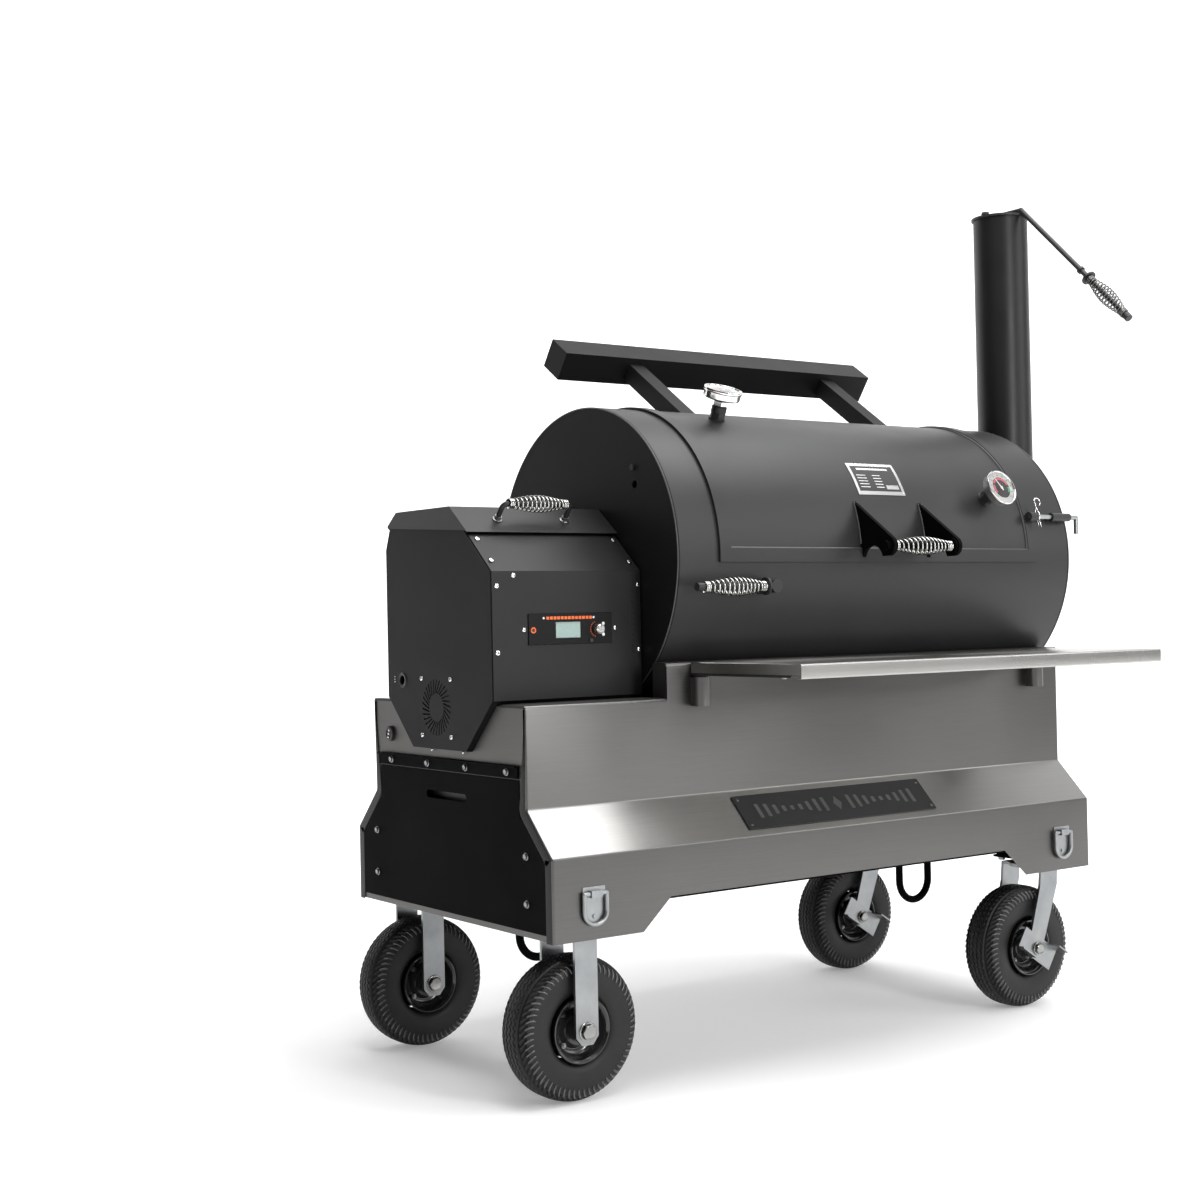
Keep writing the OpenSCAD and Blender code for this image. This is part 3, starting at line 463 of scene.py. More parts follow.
KEPT = {
    COAT: [
        "cart_right_panel", "hopper_stand", "barrel_saddles",
        "barrel_shell", "barrel_fittings",
        "lid_panel", "lid_flange", "stack_cap", "damper_lever", "hopper_lid",
    ],
    DEEP_COAT: ["counterweight"],
    STACK_COAT: ["stack_pipe"],
    HOPPER_COAT: ["hopper_front_cover"],
    SHADE_DARKENED_COAT: ["hopper_casing", "barrel_end_plates"],
    DEEP_SHADE_COAT: ["access_panel", "panel_strip", "lid_handle_ears", "cart_underframe", "tie_down_loops"],
    STAINLESS_END: ["cart_left_frame"],
    STAINLESS: ["shelf_sockets"],
    ZINC: [
        "d_ring_plates", "rigid_forks", "swivel_fork_front", "swivel_fork_back", "brake_front", "brake_back",
        "d_ring_left", "d_ring_right", "latch_pin",
    ],
    GALVANISED: ["hopper_bin", "auger_screw"],
    IRON: ["auger_drive", "heat_diffuser", "cooking_grates"],
    PLASTIC: ["fan_impeller", "power_inlet"],
}
EDGES = {
    "counterweight": 5.0, "hopper_casing": 0.6, "lid_handle_ears": 1.2, "hopper_lid": 0.7,
    "hopper_front_cover": 1.8, "cart_left_frame": 0.6, "access_panel": 0.6, "panel_strip": 0.8,
    "rigid_forks": 1.6, "swivel_fork_front": 1.2, "swivel_fork_back": 1.2, "brake_front": 0.8,
    "brake_back": 0.8, "d_ring_plates": 0.8, "stack_cap": 0.8, "shelf_sockets": 0.6, "lid_flange": 0.8,
    "cart_underframe": 1.0,
}
for paint, names in KEPT.items():
    for name in names:
        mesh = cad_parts[name].data
        mesh.materials.clear()
        mesh.materials.append(paint)
        if name in EDGES:
            add_bevel(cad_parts[name], EDGES[name])


# ---- coil grips ----

WIRE = 3.6
GRIP_MID, GRIP_END = 19.0, 11.0
OPEN_TURNS, TIGHT_TURNS, TURN_STEPS = 12, 3, 18
CAP_COIL = 138
DOWN_FRONT = Matrix.Rotation(math.radians(135), 3, "X")


def coil_path(place, length, mid=GRIP_MID, end=GRIP_END):
    """Centre line of the wire: tight turns at both ends and open, bulging turns between them."""
    tight = TIGHT_TURNS * WIRE * 1.01
    open_length = length - 2 * tight - WIRE
    turns = OPEN_TURNS + 2 * TIGHT_TURNS
    path = []
    for i in range(turns * TURN_STEPS + 1):
        turn = i / TURN_STEPS
        swell = 0.0
        if turn < TIGHT_TURNS:
            height = turn / TIGHT_TURNS * tight
        elif turn > turns - TIGHT_TURNS:
            height = tight + open_length + (turn - turns + TIGHT_TURNS) / TIGHT_TURNS * tight
        else:
            share = (turn - TIGHT_TURNS) / OPEN_TURNS
            height, swell = tight + share * open_length, math.sin(math.pi * share) ** 1.15
        x, y = polar(end - WIRE / 2 + (mid - end) * swell, 360 * turn)
        path.append(place @ Vector((x, y, height - length / 2 + WIRE / 2)))
    return path


def coil_grip(name, body, node, length=0, turn=TO_RIGHT, end_cap=False, steel=COIL_STEEL):
    """A coil in the place of a grip of the CAD, as long as it is unless a length is given."""
    low, high = span(node)
    place = at(*middle(node), turn)
    length = length or high.x - low.x
    grip = Shape()
    grip.sweep(coil_path(place, length), WIRE / 2 * MM, 8)
    if end_cap:
        end = -length / 2
        grip.lathe(place, [(0, end - 10), (6, end - 10), (7.5, end - 8), (7.5, end), (6.2, end + 1)], 24)
    grip.piece(name, body, [steel], [node], sharp=60)


coil_grip("lid_handle_coil", "lid", "lid_handle_grip")
coil_grip("damper_coil", "damper", "damper_grip", end_cap=True)
coil_grip("stack_cap_coil", "stack_cap", "stack_cap_grip", CAP_COIL, DOWN_FRONT, steel=SHADED_COIL_STEEL)


def hopper_handle():
    """Bent black rod with flanged nuts, and the chrome coil on it."""
    low, high = span("hopper_lid_handle")
    lean = Matrix.Rotation(math.radians(38.7), 3, "X")
    reach, half, corner = 37, 76, 12
    out = lean @ Vector((0, 0, 1))
    top = Vector(((low.x + high.x) / 2, low.y + 17, high.z - 17))
    foot = top - out * reach
    path = [foot + Vector((-half, 0, 0))]
    for side, start in ((-1, 0), (1, 90)):
        hub = top + Vector((side * (half - corner), 0, 0)) - out * corner
        for x, rise in arc(0, 0, corner, start, 90 - start):
            path.append(hub + Vector((side * x, 0, 0)) + out * rise)
    path.append(foot + Vector((half, 0, 0)))
    rod = Shape()
    rod.sweep([at(*p).translation for p in path], 5 * MM, 14)
    for side in (-half, half):
        nut = at(*(foot + Vector((side, 0, 0))), lean)
        rod.lathe(nut, [(5, 0.2), (10, 0.2), (10, 1.6), (7.5, 2.6), (5, 2.6)], 28, 1)
        rod.prism(nut, hexagon(7.6), 2.5, 8.5, 1)
    rod.piece(
        "hopper_handle_rod", "hopper_lid", [COAT, ZINC], ["hopper_lid_handle"], 0.4
    )
    coil = Shape()
    coil.sweep(coil_path(at(*top, TO_RIGHT), 136, 17, 10), WIRE / 2 * MM, 8)
    coil.piece("hopper_handle_coil", "hopper_lid", [COIL_STEEL], sharp=60)


hopper_handle()

# ---- tyres and rims ----

CORNERS = ("fl", "bl", "fr", "br")
TREAD_STEPS = 384
ZIGZAGS = 64
CROWN_STEPS = 96
TREAD_LINES = (-15.6, -5.2, 5.2, 15.6)
TREAD_HALF, GROOVE_END, NOTCH_END = 21.0, 27.0, 37.0
BEAD_R, BELT_SHARE = 59.0, 0.74
WALL_STEPS = 12
SQUARE, ROUND = 3.2, 2.4
LUG_STAND, LUG_R = 2.4, 1.9


def zigzag(turn):
    """A wave from -1 to 1 that repeats ZIGZAGS times round the tyre."""
    return abs((turn * ZIGZAGS) % 1.0 * 2 - 1) * 2 - 1


def tyre_relief(off_middle, turn):
    """Depth of the tread, in millimetres, at a distance from its middle and a share of the turn."""
    off = abs(off_middle)
    if off < TREAD_HALF:
        wave = zigzag(turn) * 2.2
        nearest = min(abs(off_middle - line - wave) for line in TREAD_LINES)
        return 3.6 * max(0.0, 1 - (nearest / 1.8) ** 4)
    if off < GROOVE_END:
        return 5.0 * min(1.0, (off - TREAD_HALF) / 1.2, (GROOVE_END - off) / 1.4)
    if off < NOTCH_END:
        notch = 0.5 + 0.5 * math.cos(math.tau * turn * ZIGZAGS + 0.7 * (off - GROOVE_END))
        return 3.4 * notch**1.3 * min(1.0, (off - GROOVE_END) / 1.0, (NOTCH_END - off) / 1.0)
    return 0.0


def tyre_mesh():
    """Skin from bead to bead: square shoulder, zigzag ribs, smooth grooves and a notched edge."""
    low, high = span("tyre_fl")
    outer, half_w = (high.z - low.z) / 2, (high.y - low.y) / 2 - LUG_STAND
    belt = outer * BELT_SHARE
    wall = []
    for i in range(WALL_STEPS):
        left = 1 - i / WALL_STEPS
        w = half_w * (1 - (0.99 * left) ** 6) ** (1 / 6) - 6 * left**2
        wall.append((BEAD_R + (belt - BEAD_R) * (1 - left), w))
    crown = []
    for i in range(CROWN_STEPS + 1):
        w = half_w * math.sin(math.pi * (i / CROWN_STEPS - 0.5))
        bulge = max(0.0, 1 - abs(w / half_w) ** SQUARE) ** (1 / ROUND)
        crown.append((belt + (outer - belt) * bulge, w))
    ring = [(r, -w) for r, w in wall] + crown + wall[::-1]
    rows = []
    for k in range(TREAD_STEPS + 1):
        turn = (k % TREAD_STEPS) / TREAD_STEPS
        a = math.tau * turn
        row = []
        for r, w in ring:
            relief = tyre_relief(w, turn) if r > belt + 4 else 0.0
            down = relief * min(1.0, 0.35 + (r - belt) / (outer - belt)) if relief else 0.0
            side = relief * 0.6 if relief and abs(w) > GROOVE_END else 0.0
            row.append(((r - down) * math.cos(a), (r - down) * math.sin(a), w - math.copysign(side, w)))
        rows.append(row)
    return rows


def shoulder_lugs(shape, place, outer, half_w):
    """Curved ribs along both edges of the tread, standing on the skin."""
    belt = outer * BELT_SHARE
    for side in (-1, 1):
        for i in range(ZIGZAGS):
            line = []
            for share in (0.0, 0.25, 0.5, 0.75, 1.0):
                a = math.tau * (i + 0.6 * share**2) / ZIGZAGS
                r = outer * (0.80 + 0.12 * share)
                skin = (half_w - LUG_STAND) * (1 - ((r - belt) / (outer - belt)) ** ROUND) ** (1 / SQUARE)
                line.append(place @ Vector((r * math.cos(a), r * math.sin(a), side * (skin + 0.4))))
            # kind 1: the ribs' lighter rubber, a painted highlight
            shape.sweep(line, [LUG_R * k * MM for k in (0.7, 1, 1, 1, 0.7)], 8, 1)


def tyres():
    rows = tyre_mesh()
    for corner in CORNERS:
        tyre = Shape()
        place = at(*middle("tyre_" + corner), TO_FRONT)
        tyre.grid(place, rows)
        low, high = span("tyre_" + corner)
        shoulder_lugs(tyre, place, (high.z - low.z) / 2, (high.y - low.y) / 2)
        tyre.piece(
            "tyre_skin_" + corner, "wheel_" + corner, [RUBBER, LIT_LUG_RUBBER],
            ["tyre_" + corner], sharp=50,
        )


RIM_SIDE = [
    (56.5, 20), (56.5, 33), (57.5, 36), (59, 37), (60, 38.6), (59.4, 40.4), (57.6, 40.8), (55.8, 39.6),
    (53.5, 38.2), (51.6, 35), (50.2, 28), (47, 20), (42, 16.5), (36, 16), (32.5, 19), (31, 24), (28, 27),
    (22, 27.5), (20.5, 30), (20.5, 45), (19, 47), (6.1, 47),
]


def rims():
    for corner in CORNERS:
        rim = Shape()
        centre = middle("rim_" + corner)
        for turn in (TO_FRONT, TO_BACK):
            place = at(*centre, turn)
            rim.lathe(place, RIM_SIDE, 72)
            for i in range(4):
                spot = place @ Matrix.Translation((*polar(38.5, 45 + 90 * i), 16.2))
                rim.prism(spot, hexagon(5.2), 0, 4.5, 1)
                rim.lathe(spot, [(0, 7.5), (2.4, 7.5), (3, 6.8), (3, 4)], 16, 1)
            rim.lathe(place, [(12.5, 46.9), (12.5, 47.4), (7.2, 47.7), (6.1, 47.7)], 32, 1)
        stem = at(*centre, TO_FRONT) @ Matrix.Translation((0, 46, 22))
        rim.lathe(stem, [(4.2, -2), (4.2, 8), (3.2, 11), (3.2, 20), (0, 20.5)], 18)
        rim.piece(
            "rim_body_" + corner, "wheel_" + corner, [GLOSS, ZINC], ["rim_" + corner], sharp=40
        )


tyres()
rims()

# ---- cart panels: folded sheet with rounded bends ----

BEND_R, END_BEND_R = 7.0, 5.0
CART_Y, BAND_Y = 355, 277  # half the cart's depth below and above the slanted band
BAND_LOW_Z, BAND_HIGH_Z = 444, 523
STEP_X = -13  # where the deck steps up to the top
NOTCH = ((-135, 0), (-71, 57), (811, 57), (875, 0))  # the lower edge's x and rise
DECK_FOLD_Y, TOP_FOLD_Y = 196, 236
END_FLANGE = 22


def fold(points, radius=BEND_R, steps=5):
    """Rounds the inner corners of a line of (y, z) points."""
    rounded = [Vector(points[0])]
    for before, here, after in zip(points, points[1:], points[2:]):
        here = Vector(here)
        a, b = (Vector(before) - here).normalized(), (Vector(after) - here).normalized()
        turn = math.pi - a.angle(b)
        cut = radius * math.tan(turn / 2)
        start, end = here + a * cut, here + b * cut
        for i in range(steps + 1):
            t = i / steps
            curve = start * (1 - t) ** 2 + here * 2 * t * (1 - t) + end * t**2
            rounded.append(curve)
    rounded.append(Vector(points[-1]))
    return rounded


def side_skin(name, node, front):
    """The stainless side of the cart: slanted band, notched lower edge, returned ends and folded top."""
    low, high = span(node)
    y_out = low.y if front else high.y
    sign = -1 if front else 1
    deck_z = span("cart_left_frame")[1].z + 3
    y_top = sign * BAND_Y
    skin = Shape()

    def rise(x):
        """Height of the lower edge over the floor line at x."""
        for (xa, za), (xb, zb) in zip(NOTCH, NOTCH[1:]):
            if xa <= x <= xb:
                return za + (zb - za) * (x - xa) / (xb - xa)
        return 0

    def normals(line):
        found = []
        for i in range(len(line)):
            along = line[min(i + 1, len(line) - 1)] - line[max(i - 1, 0)]
            found.append(Vector((sign * along.y, -sign * along.x)).normalized())
        return found

    def corner(x_edge, inward):
        """Plan path of a returned end, from the flange's inner edge round the bend: (x, depth)."""
        bend = [(x_edge + inward * (END_BEND_R - x), END_BEND_R - d)
                for x, d in arc(0, 0, END_BEND_R, 0, 90, 5)]
        return [(x_edge, END_FLANGE)] + bend

    sections = (
        (corner(low.x, 1) + [(x, 0) for x in (-135, -103, -71, STEP_X)], deck_z, DECK_FOLD_Y),
        (
            [(x, 0) for x in (STEP_X, 200, 400, 600, 811, 843, 875)] + corner(high.x, -1)[::-1],
            high.z, TOP_FOLD_Y,
        ),
    )
    for path, top, depth in sections:
        line = fold([
            (y_out, low.z), (y_out, BAND_LOW_Z), (y_top, BAND_HIGH_Z), (y_top, top), (sign * depth, top),
        ])
        out = normals(line)
        rows = []
        for x, d in path:
            row = []
            for i, (here, normal) in enumerate(zip(line, out)):
                z = here.y + (rise(x) if i == 0 else 0)
                flat = here.y >= top - BEND_R - 0.01
                drop = 0 if flat and d > END_BEND_R else d
                y = here.x - normal.x * drop
                row.append((x, y, z - normal.y * drop))
            rows.append(row)
        if path[0][0] == low.x:
            skin.grid(at(0, 0, 0), rows[:3], 1)
            rows = rows[2:]
        # kind 2 is the lower band in steel darkened as painted shade, kind 3 the slanted band in steel
        # lightened as painted highlight
        for first, last, kind in ((0, 4, 2), (4, 10, 3), (10, len(line), 0)):
            skin.grid(at(0, 0, 0), [row[first:last + 1] for row in rows], kind)
    near, far = sorted((sign * TOP_FOLD_Y, y_top))
    skin.block(at(0, 0, 0), (STEP_X, near, deck_z - 2), (STEP_X + 2, far, high.z - 1))
    skin.piece(
        name, "cooker", [STAINLESS, SHADED_STEEL, SHADED_LOW_STEEL, LIT_SLANT_STEEL], [node], sharp=24
    )


side_skin("cart_front_skin", "cart_front_panel", True)
side_skin("cart_back_skin", "cart_back_panel", False)

# ---- shelf ----


def shelf_pieces():
    """Folded tray with hemmed lip, and the two black socket arms below it."""
    low, high = span("shelf")
    socket_low, socket_high = span("shelf_sockets")
    socket_y = socket_low.y + 16
    lip = high.z - 27
    line = fold(
        [(low.y + 14, lip), (low.y, lip), (low.y, high.z), (high.y, high.z), (high.y, high.z - 12)], 3.0
    )
    tray = Shape()
    tray.grid(at(0, 0, 0), [[(x, p.x, p.y) for p in line] for x in (low.x, high.x)])
    for x in (low.x, high.x - 2):
        tray.block(at(0, 0, 0), (x, low.y + 1.5, high.z - 20), (x + 2, high.y - 1, high.z - 1))
    tray.piece("shelf_tray", "shelf", [SHELF_STEEL], ["shelf"], sharp=30)
    arms = Shape()
    outline = [
        (low.y + 16, -6), (low.y + 30, -25), (socket_y + 13, -25), (socket_y + 13, -3), (low.y + 16, -3),
    ]
    n = len(outline)
    faces = [list(range(n)), list(range(n, 2 * n))[::-1]]
    faces += [[i, n + i, n + (i + 1) % n, (i + 1) % n] for i in range(n)]
    for x in (socket_low.x + 16, socket_high.x - 16):
        arms.add(at(x, 0, high.z), [(dx, y, z) for dx in (-12, 12) for y, z in outline], faces)
        arms.lathe(at(x, socket_y, low.z), [(0, 0), (11.5, 0), (13, 1.5), (13, 50)], 32)
        screw = at(x, low.y + 60, high.z - 26, Matrix.Rotation(math.radians(180), 3, "X"))
        arms.lathe(screw, [(0, 2.6), (2.5, 2.4), (5, 1.2), (5.4, -1.2)], 24, 1)
    arms.piece("shelf_arms", "shelf", [COAT, ZINC], bevel=1.5)


shelf_pieces()

# ---- dials ----


def numeral(text, size):
    """Flat outline of a number as mesh points and faces, centred on the origin."""
    curve = bpy.data.curves.new("numeral", "FONT")
    curve.body = text
    curve.size = size
    curve.align_x = "CENTER"
    curve.align_y = "CENTER"
    holder = new_object("numeral", curve)
    bpy.context.view_layer.update()
    flat = holder.to_mesh()
    points = [tuple(v.co) for v in flat.vertices]
    faces = [list(f.vertices) for f in flat.polygons]
    bpy.data.objects.remove(holder)
    bpy.data.curves.remove(curve)
    return points, faces


DEEP_STEM = 45


def thermometer(name, x, angle, stem, needle_turn):
    """Stem with hexagon, polished case and bezel, printed dial, needle and a glass."""
    lid_r = BARREL_R + 0.6
    base = on_barrel(x, angle, lid_r)
    case = on_barrel(x, angle, lid_r + stem)
    body = Shape()
    body.lathe(base, [(17, 0), (17, 2.5), (13, 4), (13, 10)], 40)
    body.prism(base, hexagon(16), 3, 15)
    body.lathe(base, [(15.5, 15), (15.5, stem - 21), (12.5, stem - 20), (12.5, stem - 8), (17, stem - 6)], 40)
    body.prism(base, hexagon(16.5), stem - 18, stem - 10, 1 if stem > DEEP_STEM else 0)
    body.lathe(
        case,
        [(0, -6), (32, -6), (36, -4.5), (38, -2), (38.4, 9), (39.4, 9.6), (40, 11), (40, 14.5), (39, 16),
         (37.2, 16), (36, 14.8), (35.6, 12.6)],
        72, 1,
    )
    body.lathe(base, [(3.5, -60), (3.5, 2)], 16, 1)
    replaced = ["lid_thermometers"] if stem > DEEP_STEM else ()
    body.piece(name, "lid", [COAT, CHROME], replaced, sharp=35)
    dial = Shape()
    dial.lathe(case, [(0, 12.6), (35.6, 12.6)], 72, 0)
    dial.lathe(case, [(0, 12.72), (24.2, 12.72)], 64, 1)
    face = case @ Matrix.Translation((0, 0, 12.8))
    for i in range(51):
        inner, half = (30.2, 0.35) if i % 5 == 0 else (32.0, 0.18)
        mark = face @ Matrix.Rotation(math.radians(225 - 270 * i / 50), 4, "Z")
        dial.block(mark, (inner, -half, 0), (34.0, half, 0.05), 1)
    for i in range(11):
        spot = face @ Matrix.Translation((*polar(28.2, 225 - 270 * i / 10), 0))
        dial.add(spot, *numeral(str(50 + 50 * i), 4.0), 1)
    for start, end, kind in ((215, 165, 2), (150, 20, 2), (5, -30, 3)):
        turns = [start + (end - start) * i / 24 for i in range(25)]
        dial.grid(face, [[(*polar(r, turn), 0.05) for r in (18.6, 22.6)] for turn in turns], kind)
    needle = face @ Matrix.Rotation(math.radians(needle_turn), 4, "Z")
    pointer = [(-7, -1.4), (0, -1.6), (24, -0.4), (25, 0), (24, 0.4), (0, 1.6), (-7, 1.4)]
    dial.prism(needle, pointer, 0.5, 0.9, 4)
    dial.lathe(needle, [(3.2, 0.3), (3.2, 1.2), (2.4, 1.7), (0, 1.8)], 24, 4)
    dial.piece(name + "_dial", "lid", [DIAL_WHITE, PLASTIC, RED, GREEN, WHITE], sharp=30)
    lens = Shape()
    lens.lathe(case, [(0, 15.3), (20, 15.1), (35.9, 14.4), (35.9, 13.9), (20, 14.5), (0, 14.7)], 64)
    lens.piece(name + "_glass", "lid", [GLASS], sharp=30)


thermometer("top_thermometer", 256, 68, 48, 150)
thermometer("front_thermometer", 855, 23.5, 42, 118)

# ---- fasteners ----


def flange_bolt(shape, place, r=6.5, kind=0):
    """Hexagon head on a round flange, with a chamfered top."""
    shape.lathe(place, [(r * 1.25, 0), (r * 1.25, 0.8), (r * 0.95, 1.6)], 32, kind)
    shape.prism(place, hexagon(r * 0.95), 1.0, 4.2, kind)
    shape.lathe(place, [(r * 0.84, 4.2), (r * 0.74, 4.6), (r * 0.5, 4.35), (0, 4.3)], 32, kind)


def pan_screw(shape, place, r=4.0, turn=0.0, kind=0, recess_shade_kind=1):
    """Domed head with a cross recess, which is a dark cross of painted shade set just over the dome."""
    dome = [(r, 0), (r, 0.5), (r * 0.86, 1.5), (r * 0.5, 2.15), (0, 2.3)]
    shape.lathe(place, dome, 28, kind)
    cross = place @ Matrix.Rotation(math.radians(turn), 4, "Z")
    w, l = r * 0.11, r * 0.55
    shape.block(cross, (-l, -w, 1.9), (l, w, 2.36), recess_shade_kind)
    shape.block(cross, (-w, -l, 1.9), (w, l, 2.36), recess_shade_kind)


def fasteners():
    cart = span("access_panel")[0].x
    bolts = Shape()
    # the access panel's corners, then the black strip
    for y in (-274, 274):
        for z in (358, 442):
            flange_bolt(bolts, at(cart, y, z, TO_LEFT), 5.6)
    for y in (-219, -78, 63, 204):
        flange_bolt(bolts, at(cart - 3, y, 588, TO_LEFT), 5.6)
    bolts.piece("cart_flange_bolts", "cooker", [ZINC], ["panel_bolts"], sharp=28)
    screws = Shape()
    casing_low, casing_high = span("hopper_casing")
    cover_low, cover_high = span("hopper_front_cover")
    front = cover_low.y
    left, right = casing_low.x, casing_high.x
    # the cover's upright face
    for x, z, turn in (
        (left + 12, 921, 20), (left + 12, 800, 60), (right - 6, 921, 10), (right - 6, 798, 35),
    ):
        pan_screw(screws, at(x, front, z, TO_FRONT), 5.0, turn)
    for x, turn in ((left + 69, 30), (right - 62, 75)):
        pan_screw(screws, at(x, front, 840.5, TO_FRONT), 4.4, turn)
    pan_screw(screws, at(left + 48, front, 940, TO_FRONT), 4.8, 50)
    # its slanted top
    slope = Matrix.Rotation(math.radians(90 - 41.5), 3, "X")
    for x, share, turn in (
        (left + 15, 0.26, 15), (left + 15, 0.88, 80), (right - 13, 0.22, 40), (right - 13, 0.88, 5),
    ):
        y = front + share * (cover_high.y - front - 4)
        z = 950 + share * 66 + 1.2
        pan_screw(screws, at(x, y, z, slope), 5.0, turn)
    # round the fan's grille, then below it
    fan = middle("fan_impeller")
    for y, z, turn in ((-54, 54, 30), (54, 54, 10), (-54, -54, 70), (54, -54, 45)):
        pan_screw(screws, at(left, fan.y + y, fan.z + z, TO_LEFT), 4.6, turn)
    chamfer = Matrix.Rotation(math.radians(115), 3, "X")
    pan_screw(screws, at(left + 52, -148, 668, chamfer), 4.2, 25)
    for y in (-70, 45):
        pan_screw(screws, at(left + 9, y, casing_low.z - 3, TO_LEFT), 3.6, 15)
    screws.piece("hopper_screws", "cooker", [CHROME, PLASTIC], sharp=35)


fasteners()

# ---- openings and hidden fasteners ----

PORT_Y, PORT_Z = span("hopper_bin")[0].y + 225, 746
SLOT_W, SLOT_LOW, SLOT_HIGH = 74, 506, 552  # the hand slot: half width, lower and upper edge
CASTER_Y = middle("tyre_bl").y
CAP_EDGE = 22.0  # from the cap's back edge to its pivot


def hopper_details():
    """Louvre slots by the cover's right edge and a disc behind the grille, both near black as painted shade,
    and the ring of the round port.
    """
    casing_low, casing_high = span("hopper_casing")
    front = span("hopper_front_cover")[0].y
    slots = Shape()
    lean = TO_FRONT @ Matrix.Rotation(math.radians(-32), 3, "Z")
    for i in range(12):
        place = at(casing_high.x - 19, front, 794 + i * 10.4, lean)
        slots.prism(place, rounded_box(11, 3.6, 1.7, 4), -0.4, 0.25)
    fan = middle("fan_impeller")
    backing = at(casing_low.x + 3.2, fan.y, fan.z, TO_LEFT)
    slots.lathe(backing, [(24, 0), (56.5, 0), (56.5, -0.6), (24, -0.6)], 64)
    slots.piece("hopper_slots_painted_shade", "cooker", [PAINTED_SHADE_BLACK], sharp=30)
    port = Shape()
    place = at(casing_low.x, PORT_Y, PORT_Z, TO_LEFT)
    port.lathe(place, [(9.2, 0), (9.2, 1.2), (10.4, 1.8), (13.6, 1.8), (15, 0.6), (15, 0)], 40)
    for i in range(3):
        dot = at(casing_low.x, PORT_Y + 31, PORT_Z + 6 - i * 5, TO_LEFT)
        port.lathe(dot, [(1.3, 0), (1.3, 0.4), (0, 0.5)], 14, 1)
    port.piece("hopper_port_ring", "cooker", [PLASTIC, WHITE], sharp=30)


def cap_pivot():
    """Domed head over the pivot of the stack's cap."""
    low, high = span("stack_cap")
    head = Shape()
    x, y = (low.x + high.x) / 2, high.y - CAP_EDGE
    dome = [(4, -9), (4, -6.2), (9.6, -5.6), (9.8, -3.6), (7, -1.2), (3, -0.3), (0, -0.2)]
    head.lathe(at(x, y, high.z), dome, 32)
    head.piece("cap_pivot_head", "stack_cap", [IRON], sharp=50)


def slot_back():
    """Grey sheet behind the hand slot, far enough back for fingers."""
    sheet = Shape()
    sheet.block(at(span("access_panel")[1].x + 24, 0, 0), (0, -SLOT_W, SLOT_LOW), (1.2, SLOT_W, SLOT_HIGH))
    sheet.piece("hand_slot_back", "cooker", [STAINLESS_END], bevel=0.3)


def axle_head(shape, place, face, r, top, kind):
    """Washer, hexagon and chamfered top of a bolt, from the face it sits on."""
    washer = [(r * 1.25, face), (r * 1.25, face + 1.6), (r * 1.14, face + 2.2), (r, face + 2.2)]
    shape.lathe(place, washer, 40, kind)
    shape.prism(place, hexagon(r), face + 1, top, kind)
    crown = [(r * 0.94, top), (r * 0.82, top + 1.1), (r * 0.66, top + 0.7), (0, top + 0.6)]
    shape.lathe(place, crown, 48, kind)


def caster_bolts():
    """Four bolts below each caster plate."""
    bolts = Shape()
    plate_z = span("rigid_forks")[1].z - 5
    down = Matrix.Rotation(math.radians(180), 3, "X")
    for name in ("rigid_forks", "swivel_fork_front"):
        low, high = span(name)
        centre_x = (low.x + high.x) / 2 if name == "rigid_forks" else high.x - 42
        for side in (-1, 1):
            for dx in (-45, 45):
                for dy in (-38, 38):
                    place = at(centre_x + dx, side * CASTER_Y + dy, plate_z, down)
                    bolts.lathe(place, [(9, 0), (9, 1.4), (7.4, 1.6)], 24)
                    bolts.prism(place, hexagon(7.6), 1.2, 6.5)
    for tyre in ("tyre_fl", "tyre_bl"):
        for turn in (TO_FRONT, TO_BACK):
            axle_head(bolts, at(*middle(tyre), turn), 56, 14.4, 64.3, 1)
    bolts.piece("caster_bolts", "cooker", [ZINC, BOLT_STEEL], bevel=0.4, sharp=30)
    for corner, side in (("fr", "front"), ("br", "back")):
        axle = middle("tyre_" + corner)
        heads = Shape()
        axle_head(heads, at(*axle, TO_FRONT), 61, 11.4, 68.4, 0)
        axle_head(heads, at(*axle, TO_BACK), 56, 11.4, 63.4, 0)
        heads.piece("axle_heads_" + side, "swivel_" + side, [BOLT_STEEL], bevel=0.4, sharp=30)


hopper_details()
cap_pivot()
slot_back()
caster_bolts()

# ---- control panel ----

PLATE_W, PLATE_H = 93.5, 28.2  # half sizes
STATUS_X, BUTTON_X, KNOB_X, ROW_Z = -252, -95, -110, 839


